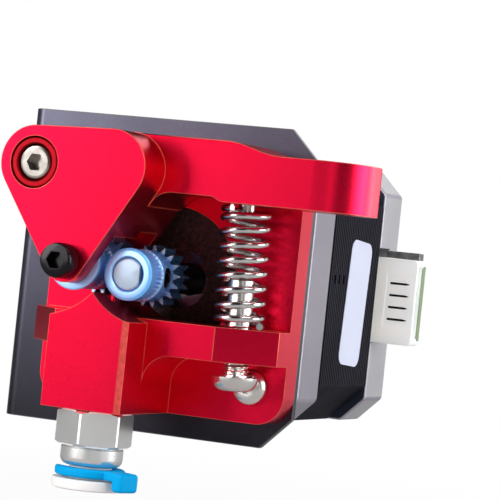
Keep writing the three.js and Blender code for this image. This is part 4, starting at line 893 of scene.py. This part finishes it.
def ledge_plan():
    back = PLATE_FRONT_Y + 1
    return [(LEDGE_LEFT_SLANT_X, LEDGE_FRONT_Y), (LEDGE_SLANT_X, LEDGE_FRONT_Y), (HALF_SIDE, LEDGE_END_Y),
            (HALF_SIDE, back), (LEDGE_LEFT_X, back), (LEDGE_LEFT_X, LEDGE_END_Y)]


def fillet_outline():
    x, z = BLOCK_RIGHT_X, LEDGE_LOW_Z
    points = [(x - 1, z + 1), (x - 1, z - LEDGE_FILLET)]
    points += arc(x + LEDGE_FILLET, z - LEDGE_FILLET, LEDGE_FILLET, 180, 90)
    points += [(x + LEDGE_FILLET, z + 1)]
    return points


def build_base():
    edge = BLOCK_EDGE
    tooth_room = TIP_RADIUS + 0.5
    room_front = SHAFT_FRONT_Y + TOOTH_START - 0.9
    open_x, open_z = IDLER_X - 2.08, IDLER_Z - 0.8
    tower = prism(crown_outline(), BLOCK_FRONT_Y, PLATE_FRONT_Y + 1)
    cut(tower, prism([
        (BLOCK_RIGHT_X - edge, BLOCK_FRONT_Y - 1), (BLOCK_RIGHT_X - edge, BLOCK_FRONT_Y),
        (BLOCK_RIGHT_X, BLOCK_FRONT_Y + edge), (BLOCK_RIGHT_X + 1, BLOCK_FRONT_Y + edge),
        (BLOCK_RIGHT_X + 1, BLOCK_FRONT_Y - 1),
    ], -HALF_SIDE - 1, CROWN_Z + 1, "Z"))
    body = join(
        prism(rounded(-HALF_SIDE, HALF_SIDE, -HALF_SIDE, PLATE_TOP_Z, 4.5), PLATE_FRONT_Y, -SHEET),
        tower,
        prism(ledge_plan(), LEDGE_LOW_Z, LEDGE_TOP_Z, "Z"),
        prism(fillet_outline(), LEDGE_FRONT_Y, PLATE_FRONT_Y + 1),
    )
    cut(body, rod(0, 0, WINDOW_RADIUS, PLATE_FRONT_Y - 0.01, 0, angles=96))
    for x, z in ((0, 0), (IDLER_X, IDLER_Z), (open_x, open_z)):
        cut(body, rod(x, z, tooth_room, room_front, PLATE_FRONT_Y - 0.01, angles=64))
    for x, z in CORNERS:
        cut(body, rod(x, z, SCREW_HOLE, PLATE_FRONT_Y - 1, 0))
    sink, sink_radius = PLATE_FRONT_Y + 1.9, 3
    tension_hole, filament_hole, stem_hole, stem_end_z = 2.2, 1.1, 3.1, -14.8
    front = PLATE_FRONT_Y - 1
    cut(
        body,
        turned([(0, front), (sink_radius, front), (sink_radius, PLATE_FRONT_Y + 0.4),
                (SCREW_HOLE, sink), (0, sink)], centre=(HOLE_OFFSET, 0, HOLE_OFFSET)),
        rod(SPRING_X, SPRING_Y, tension_hole, LEDGE_LOW_Z - 1, LEDGE_TOP_Z + 1, "Z"),
        rod(FILAMENT_X, FILAMENT_Y, filament_hole, -HALF_SIDE - 1, 0, "Z"),
        rod(FILAMENT_X, FILAMENT_Y, stem_hole, -HALF_SIDE - 1, stem_end_z, "Z"),
    )
    edged(body, RED, RED_EDGE_HIGHLIGHT, 0.08)
    nearly = 0.005
    painted(body, RED_MACHINED, lambda c: BLOCK_RIGHT_X - edge - 0.1 < c.x < BLOCK_RIGHT_X - nearly
            and BLOCK_FRONT_Y + nearly < c.y < BLOCK_FRONT_Y + edge + 0.1 and c.z < BLOCK_SHOULDER_Z)
    place(body, "extruder_base")


# ---- bracket

def build_bracket():
    left, end = BRACKET_LOW.x, BRACKET_HIGH.y
    inner_x = left + SHEET
    bend_x = inner_x + BEND_INNER_RADIUS
    outer_radius = BEND_INNER_RADIUS + SHEET
    profile = [(HALF_SIDE, -SHEET), (HALF_SIDE, 0)]
    profile += arc(bend_x, BEND_INNER_RADIUS, BEND_INNER_RADIUS, 270, 180)
    profile += [(inner_x, end), (left, end)]
    profile += arc(bend_x, BEND_INNER_RADIUS, outer_radius, 180, 270)
    sheet = prism(profile, BRACKET_LOW.z, BRACKET_HIGH.z, "Z")
    cut(sheet, rod(0, 0, WINDOW_RADIUS, -2, 1, angles=96))
    for side in (-1, 1):
        edge, inset = side * BRACKET_HIGH.z, side * (BRACKET_HIGH.z - BRACKET_CHAMFER)
        cut(sheet, prism([
            (HALF_SIDE - BRACKET_CHAMFER, edge), (HALF_SIDE, inset), (HALF_SIDE + 1, inset),
            (HALF_SIDE + 1, edge + side), (HALF_SIDE - BRACKET_CHAMFER, edge + side),
        ], -3, 3))
        cut(sheet, prism([
            (end - BRACKET_CHAMFER - 1, edge + side), (end + 1, inset - side), (end + 1, edge + side),
        ], left - 1, left + 3, "X"))
        for x in (-HOLE_OFFSET, HOLE_OFFSET):
            cut(sheet, rod(x, side * HOLE_OFFSET, SCREW_HOLE, -3, 3))
        for y in SLOT_ROWS:
            slot = (arc(y + SLOT_TRAVEL, side * HOLE_OFFSET, SLOT_RADIUS, -90, 90)
                    + arc(y - SLOT_TRAVEL, side * HOLE_OFFSET, SLOT_RADIUS, 90, 270))
            cut(sheet, prism(slot, left - 1, left + 3, "X"))
    place(edged(sheet, SHEET_COAT_SHADED, SHEET_EDGE, 0.14), "mounting_bracket")


# ---- motor

def build_front_cap():
    cap = edged(prism(cut_square(HALF_SIDE, CAP_CHAMFER), 0, FRONT_CAP_END), CAST, CAST_EDGE, 0.6, 5)
    join(cap, rod(0, 0, PILOT_RADIUS, -PILOT_HEIGHT, 1, angles=96))
    shaft_hole, bearing_front_y, rotor_front_y = 4.8, 1.95, 5.2
    thread_end_y, case_screw_depth = 4.5, 3.4
    past = FRONT_CAP_END + 1
    cut(cap, rod(0, 0, shaft_hole, -PILOT_HEIGHT - 1, 2.1, angles=64),
        rod(0, 0, BEARING_SEAT, bearing_front_y, past, angles=64),
        rod(0, 0, ROTOR_SPACE, rotor_front_y, past, angles=64))
    for x, z in CORNERS:
        cut(cap, rod(x, z, SCREW_HOLE, -1, thread_end_y),
            rod(x, z, SCREW_HOLE, FRONT_CAP_END - case_screw_depth, past))
    # The front face takes the dark brown look, which includes painted shade.
    painted(cap, MOTOR_FACE_SHADED, lambda c: c.y < 0.02)
    place(cap, "motor_front_cap")


def build_rear_cap():
    cap = edged(prism(cut_square(HALF_SIDE, CAP_CHAMFER), REAR_CAP_START, MOTOR_LENGTH),
                REAR_CAST_LIT, CAST_EDGE, 0.4, 4)
    notch_gap, notch_floor_x, latch_room = 0.15, 16, 1.5
    rotor_end_y, bearing_end_y = REAR_CAP_START + 3.5, 38.4
    head_hole, head_depth = 2.9, 2.5
    front = REAR_CAP_START - 1
    cut(cap, rod(0, 0, ROTOR_SPACE, front, rotor_end_y, angles=64),
        rod(0, 0, BEARING_SEAT, front, bearing_end_y, angles=64),
        block(notch_floor_x, HALF_SIDE + 1, front, CONNECTOR_HIGH.y + notch_gap,
              CONNECTOR_LOW.z - notch_gap, CONNECTOR_TOP_Z + latch_room))
    for x, z in CORNERS:
        cut(cap, rod(x, z, SCREW_HOLE, front, MOTOR_LENGTH + 1),
            rod(x, z, head_hole, MOTOR_LENGTH - head_depth, MOTOR_LENGTH + 1))
    painted(cap, CAP_SHADE, lambda c: c.y < REAR_CAP_START + 0.02)
    place(cap, "motor_rear_cap")


def build_stator():
    """Stacked laminations, each with a fine groove to the next, over eight poles."""
    groove = 0.06
    sheets = round((REAR_CAP_START - FRONT_CAP_END) / LAMINATION_PITCH)
    gap = LAMINATION_PITCH * 0.4
    rows = []
    for i in range(sheets):
        start = FRONT_CAP_END + i * LAMINATION_PITCH
        rows += [(start, groove), (start + gap, groove), (start + gap, 0), (start + LAMINATION_PITCH, 0)]
    stack = loft([[(x, y, z) for x, z in cut_square(HALF_SIDE - inset, STATOR_CHAMFER)]
                  for y, inset in rows])
    stack.data.materials.append(LAMINATION)
    painted(stack, LAMINATION_GAP, lambda c: (c.y - FRONT_CAP_END) % LAMINATION_PITCH < gap
            and FRONT_CAP_END < c.y < REAR_CAP_START)
    low, high = FRONT_CAP_END - 1, REAR_CAP_START + 1
    poles, pole_half_width, coil_room, rotor_room = 8, 2.5, 18, 13.2
    room = rod(0, 0, coil_room, low, high, angles=64)
    for i in range(poles):
        pole = block(rotor_room - 1.2, coil_room + 1, low - 1, high + 1, -pole_half_width, pole_half_width)
        pole.data.transform(Matrix.Rotation(2 * math.pi / poles * i, 4, "Y"))
        cut(room, pole)
    cut(stack, room, rod(0, 0, rotor_room, low, high, angles=64))
    for x, z in CORNERS:
        cut(stack, rod(x, z, SCREW_HOLE, low, high))
    marks, first_mark, pitch, half_width, depth = 3, 11.3, 1.9, 0.35, 0.25
    mark_low, mark_high = 1.7, 3.1
    for i in range(marks):
        y = first_mark + pitch * i
        cut(stack, block(HALF_SIDE - depth, HALF_SIDE + 1, y - half_width, y + half_width,
                         mark_low, mark_high))
    place(stack, "motor_stator", smooth=20)


def build_label():
    low, high = cad("motor_label")
    half_width, half_height = LABEL_WIDTH / 2, LABEL_HEIGHT / 2
    outline = rounded(-half_width, half_width, -half_height, half_height, LABEL_CORNER)
    label = prism(outline, low.x, high.x, "X")
    label.data.transform(Matrix.Translation((0, LABEL_Y, LABEL_Z)) @ Matrix.Rotation(-LABEL_TILT, 4, "X"))
    place(label, "motor_label", LABEL)


def slit_outline(z):
    """A slit that comes to a point at its outer end."""
    half, point = 0.19, 0.8
    return [(SLIT_START_X, z - half), (SLIT_END_X - point, z - half), (SLIT_END_X, z),
            (SLIT_END_X - point, z + half), (SLIT_START_X, z + half)]


def build_connector():
    low, high = CONNECTOR_LOW, CONNECTOR_HIGH
    wall, far_wall, end_wall, floor_x = 0.8, 1.4, 1.1, 20.6
    pin_y = (low.y + high.y) / 2
    corner = 0.9
    outline = [(low.x, CONNECTOR_TOP_Z), (low.x, low.z)]
    outline += arc(high.x - corner, low.z + corner, corner, -90, 0, 6)
    outline += arc(high.x - corner, CONNECTOR_TOP_Z - corner, corner, 0, 90, 6)
    shell = prism(outline, low.y, high.y)
    latch_end = high.x - 0.6
    join(shell, block(HALF_SIDE + 0.4, latch_end, high.y - 2.2, high.y, CONNECTOR_TOP_Z - 1, high.z))
    cut(shell, block(floor_x, high.x + 1, low.y + wall, high.y - far_wall, low.z + end_wall,
                     CONNECTOR_TOP_Z - end_wall))
    slit_depth, panel_depth = 0.6, 0.1
    heights = [CONNECTOR_Z + (i - 1.5) * PIN_PITCH for i in range(4)]
    for z in heights:
        cut(shell, block(low.x - 1, floor_x + 1, pin_y - 0.45, pin_y + 0.45, z - 0.45, z + 0.45))
    edged(shell, NYLON, None, 0.2, 3)
    margin = 0.7
    cut(shell, block(SLIT_START_X - margin, SLIT_END_X - margin / 2, low.y - 1, low.y + panel_depth,
                     heights[0] - 2 * margin, heights[3] + 2 * margin))
    for z in heights:
        cut(shell, prism(slit_outline(z), low.y - 1, low.y + slit_depth))
    # The shallow slits' floors and walls take the painted shade.
    painted(shell, SLIT_SHADE, lambda c: low.y + panel_depth + 0.01 < c.y < low.y + slit_depth + 0.01
            and SLIT_START_X - 0.01 < c.x < SLIT_END_X and min(abs(c.z - z) for z in heights) < 0.2)
    # The latch rib takes the painted shade and reflection.
    painted(shell, LATCH_SHADED, lambda c: c.z > CONNECTOR_TOP_Z + 0.02)
    painted(shell, NYLON_GREEN, lambda c: c.x > high.x - 0.3 and c.y > high.y - far_wall)
    place(shell, "connector_housing")


# ---- tube fitting

def build_fitting():
    x, y = FILAMENT_X, FILAMENT_Y
    top = -HALF_SIDE - 0.1
    corner = HEX_ACROSS_FLATS / math.sqrt(3)
    flat = HEX_ACROSS_FLATS / 2
    slope = 0.5
    hexagonal = prism(shifted(hexagon(HEX_ACROSS_FLATS, HEX_ANGLE), x, y), HEX_LOW_Z, top, "Z")
    edged(hexagonal, NICKEL, NICKEL_EDGE_HIGHLIGHT, 0.2, 1)
    cone = turned([(0, HEX_LOW_Z - 0.01), (flat, HEX_LOW_Z - 0.01), (corner, HEX_LOW_Z + slope),
                   (corner, top - slope), (flat, top + 0.01), (0, top + 0.01)], "Z", (x, y, 0), 72)
    common(hexagonal, cone)
    stem_top, stem, soft = -15.2, 2.9, 1.3
    bore, collet_room, room_top = 1.2, 3.75, -23.3
    r = COLLAR_RADIUS
    rows = [(0, COLLAR_LOW_Z)] + arc(r - soft, COLLAR_LOW_Z + soft, soft, -90, 0, 8)
    rows += [(r, HEX_LOW_Z - 0.35), (r - 0.25, HEX_LOW_Z - 0.1), (r - 0.25, HEX_LOW_Z + 0.1)]
    rows += [(stem, HEX_LOW_Z + 0.1), (stem, stem_top), (0, stem_top)]
    collar = turned(rows, "Z", (x, y, 0), 72)
    collar.data.materials.append(NICKEL)
    body = join(hexagonal, collar)
    cut(body, rod(x, y, bore, COLLAR_LOW_Z, stem_top + 1, "Z"),
        rod(x, y, collet_room, COLLAR_LOW_Z - 1, room_top, "Z", 64))
    place(body, "fitting_body", smooth=25)


def build_collet():
    flange_top = -31.7
    low = cad("tube_collet")[0].z
    rim, bore, sleeve = COLLET_RIM_RADIUS, 2.1, 3.3
    rows = [
        (bore + 0.3, low), (rim - 0.35, low), (rim - 0.1, low + 0.12), (rim, low + 0.35),
        (rim, flange_top - 0.3), (rim - 0.1, flange_top - 0.08), (rim - 0.3, flange_top),
        (sleeve, flange_top), (sleeve, -25.5), (bore, -25.5), (bore, low + 0.3),
    ]
    place(turned(rows, "Z", (FILAMENT_X, FILAMENT_Y, 0), 80, closed=True), "tube_collet", COLLET_PLASTIC)


def build_clip():
    """A fork round the collet's sleeve, with a handle block that hangs lower; all edges are soft."""
    low, high = -31.37, -30
    outer, half_slot, half_handle = 5.4, 3.55, 1.95
    handle_in, handle_out, drop = 6.6, 8.85, 2.9
    soft = 0.4
    rows = [(0, low)] + arc(outer - soft, low + soft, soft, -90, 0, 6)
    rows += arc(outer - soft, high - soft, soft, 0, 90, 6) + [(0, high)]
    fork = turned(rows, "Z", angles=72)
    slot = [(-outer - 1, -half_slot)] + arc(0, 0, half_slot, -90, 90, 32) + [(-outer - 1, half_slot)]
    cut(fork, prism(slot, low - 1, high + 1, "Z"))
    neck = block(outer - 0.9, handle_in + 0.9, -half_handle, half_handle, low, high)
    handle = block(handle_in, handle_out, -half_handle, half_handle, high - drop, high)
    join(fork, edged(neck, CLIP_PLASTIC, None, soft, 4), edged(handle, CLIP_PLASTIC, None, 0.6, 5))
    place(moved(fork, FILAMENT_X, FILAMENT_Y, 0, CLIP_ANGLE), "collet_clip", CLIP_PLASTIC)


# ---- inner CAD parts

INNER_LOOKS = {
    "ground_steel": STEEL, "copper_winding": COPPER, "lamination": LAMINATION, "magnet": MAGNET,
    "seal_rubber": RUBBER, "bright_steel": BRIGHT,
}


def dress_inner_parts():
    for name, node in frame["nodes"].items():
        if not node.hide_render:
            node.material_slots[0].material = INNER_LOOKS[SLOT_OF[name]]


# ---- studio

def paper():
    """Paper that the camera sees almost white under the part, and wholly white further out."""
    material = finish("studio_paper", (0.72, 0.72, 0.72), 0, 0.85, vary=0.01, cloud=2)
    near, far, least = 0.02, 0.14, 0.96
    tree = material.node_tree
    distance = shader_node(tree, "VectorMath", {0: own_place(tree)}, operation="LENGTH").outputs["Value"]
    fade = ranged(tree, distance, least, 1, near, far, "SMOOTHSTEP")
    seen = shader_node(tree, "LightPath", {}).outputs["Is Camera Ray"]
    share = shader_node(tree, "Math", {0: fade, 1: seen}, operation="MULTIPLY").outputs["Value"]
    surface = tree.nodes["Principled BSDF"].outputs["BSDF"]
    glow = shader_node(tree, "Emission", {}).outputs["Emission"]
    mix = shader_node(tree, "MixShader", {"Fac": share, 1: surface, 2: glow})
    feed(tree, tree.nodes["Material Output"], {"Surface": mix.outputs["Shader"]})
    return material


def build_floor():
    drop = 6
    size = 4
    level = CAD_BOX[0].z - drop * MM
    bm = bmesh.new()
    corners = ((-size, -size), (size, -size), (size, size), (-size, size))
    bm.faces.new([bm.verts.new((x, y, level)) for x, y in corners])
    floor = piece_from(bm)
    floor.name = "studio_floor"
    floor.data.materials.append(paper())


# Soft boxes round the part: azimuth from straight ahead (right positive) and elevation in degrees,
# then distance, width and height in metres, and power in watts.
LIGHTS = {
    "key_left": (-43, 18, 0.8, 0.42, 0.55, 3.6),
    "front_panel": (34, 6, 1.0, 0.35, 0.5, 0.3),
    "side_right": (105, 8, 0.8, 0.42, 0.6, 5),
    "back_right": (150, 8, 0.8, 0.5, 0.5, 0.62),
    "back_high": (178, 24, 0.8, 0.35, 0.3, 0.45),
    "high_right": (60, 50, 0.8, 0.4, 0.4, 2.5),
}
# These reach only the parts in PALE_PARTS.
PALE_LIGHTS = {
    "pale_front": (-25, 20, 0.9, 0.7, 0.7, 6),
    "pale_right": (75, 15, 0.9, 0.6, 0.6, 1.8),
}
# These reach only the lever.
LEVER_LIGHTS = {
    "lever_front": (8, 6, 1.0, 1.0, 0.3, 0.62),
    "lever_side": (132, 8, 0.8, 0.7, 0.6, 4.2),
}
PALE_PARTS = (
    "connector_housing", "motor_label", "tube_collet", "collet_clip", "fitting_body",
    "drive_gear", "idler_gear", "motor_shaft", "thrust_washer_front", "motor_rear_cap",
    "tension_screw", "base_screw_lower_right", "idler_axle_screw",
)
AMBIENT = (0.015, 0.015, 0.0159)


def softbox(name, azimuth, height, distance, width, tall, power):
    light = bpy.data.lights.new(name, "AREA")
    light.shape = "RECTANGLE"
    light.size, light.size_y = width, tall
    light.energy = power
    across, up = math.radians(azimuth), math.radians(height)
    out = Vector((math.sin(across) * math.cos(up), -math.cos(across) * math.cos(up), math.sin(up)))
    obj = bpy.data.objects.new(name, light)
    obj.location = Vector((0, FACE_Y * MM, 0)) + distance * out
    obj.rotation_euler = (-out).to_track_quat("-Z", "Y").to_euler()
    bpy.context.scene.collection.objects.link(obj)
    return obj


def receivers(name, nodes):
    """The fine pieces of some nodes, as a collection for light linking."""
    collection = bpy.data.collections.new(name)
    for node in nodes:
        collection.objects.link(bpy.data.objects[node + "_fine"])
    return collection


def build_lights():
    pale, lever = receivers("pale_parts", PALE_PARTS), receivers("lever_only", ["idler_lever"])
    for lights, reached in ((LIGHTS, None), (PALE_LIGHTS, pale), (LEVER_LIGHTS, lever)):
        for name, values in lights.items():
            softbox(name, *values).light_linking.receiver_collection = reached
    world = bpy.data.worlds.new("studio")
    world.use_nodes = True
    tree = world.node_tree
    seen = shader_node(tree, "LightPath", {}).outputs["Is Camera Ray"]
    backdrop = shader_node(tree, "Background", {"Color": (1, 1, 1, 1)}).outputs["Background"]
    ambient = feed(tree, tree.nodes["Background"], {"Color": (*AMBIENT, 1)}).outputs["Background"]
    mix = shader_node(tree, "MixShader", {"Fac": seen, 1: ambient, 2: backdrop})
    feed(tree, tree.nodes["World Output"], {"Surface": mix.outputs["Shader"]})
    bpy.context.scene.world = world
    bpy.context.scene.view_settings.view_transform = "Standard"


def build_camera():
    """A long lens in front, right of centre and rolled by six degrees."""
    yaw, pitch, roll = math.radians(22.73), math.radians(-0.08), math.radians(5.96)
    distance = 401.7
    aim = Vector((10.65, FACE_Y, 5.6))
    forward = Vector((-math.sin(yaw) * math.cos(pitch), math.cos(yaw) * math.cos(pitch), -math.sin(pitch)))
    level = Vector((math.cos(yaw), math.sin(yaw), 0))
    upright = level.cross(forward)
    right = math.cos(roll) * level + math.sin(roll) * upright
    up = -math.sin(roll) * level + math.cos(roll) * upright
    data = bpy.data.cameras.new("camera")
    data.lens = 183.8
    data.sensor_width = 36
    data.clip_start = 0.01
    camera = bpy.data.objects.new("camera", data)
    axes = Matrix((right, up, -forward)).transposed().to_4x4()
    camera.matrix_world = Matrix.Translation((aim - forward * distance) * MM) @ axes
    bpy.context.scene.collection.objects.link(camera)
    bpy.context.scene.camera = camera


for build in (build_lever, build_pivot, build_screws, build_spring, build_tension_screw, build_drive,
              build_idler, build_base, build_bracket, build_front_cap, build_rear_cap, build_stator,
              build_label, build_connector, build_fitting, build_collet, build_clip,
              dress_inner_parts, build_floor, build_lights, build_camera):
    build()
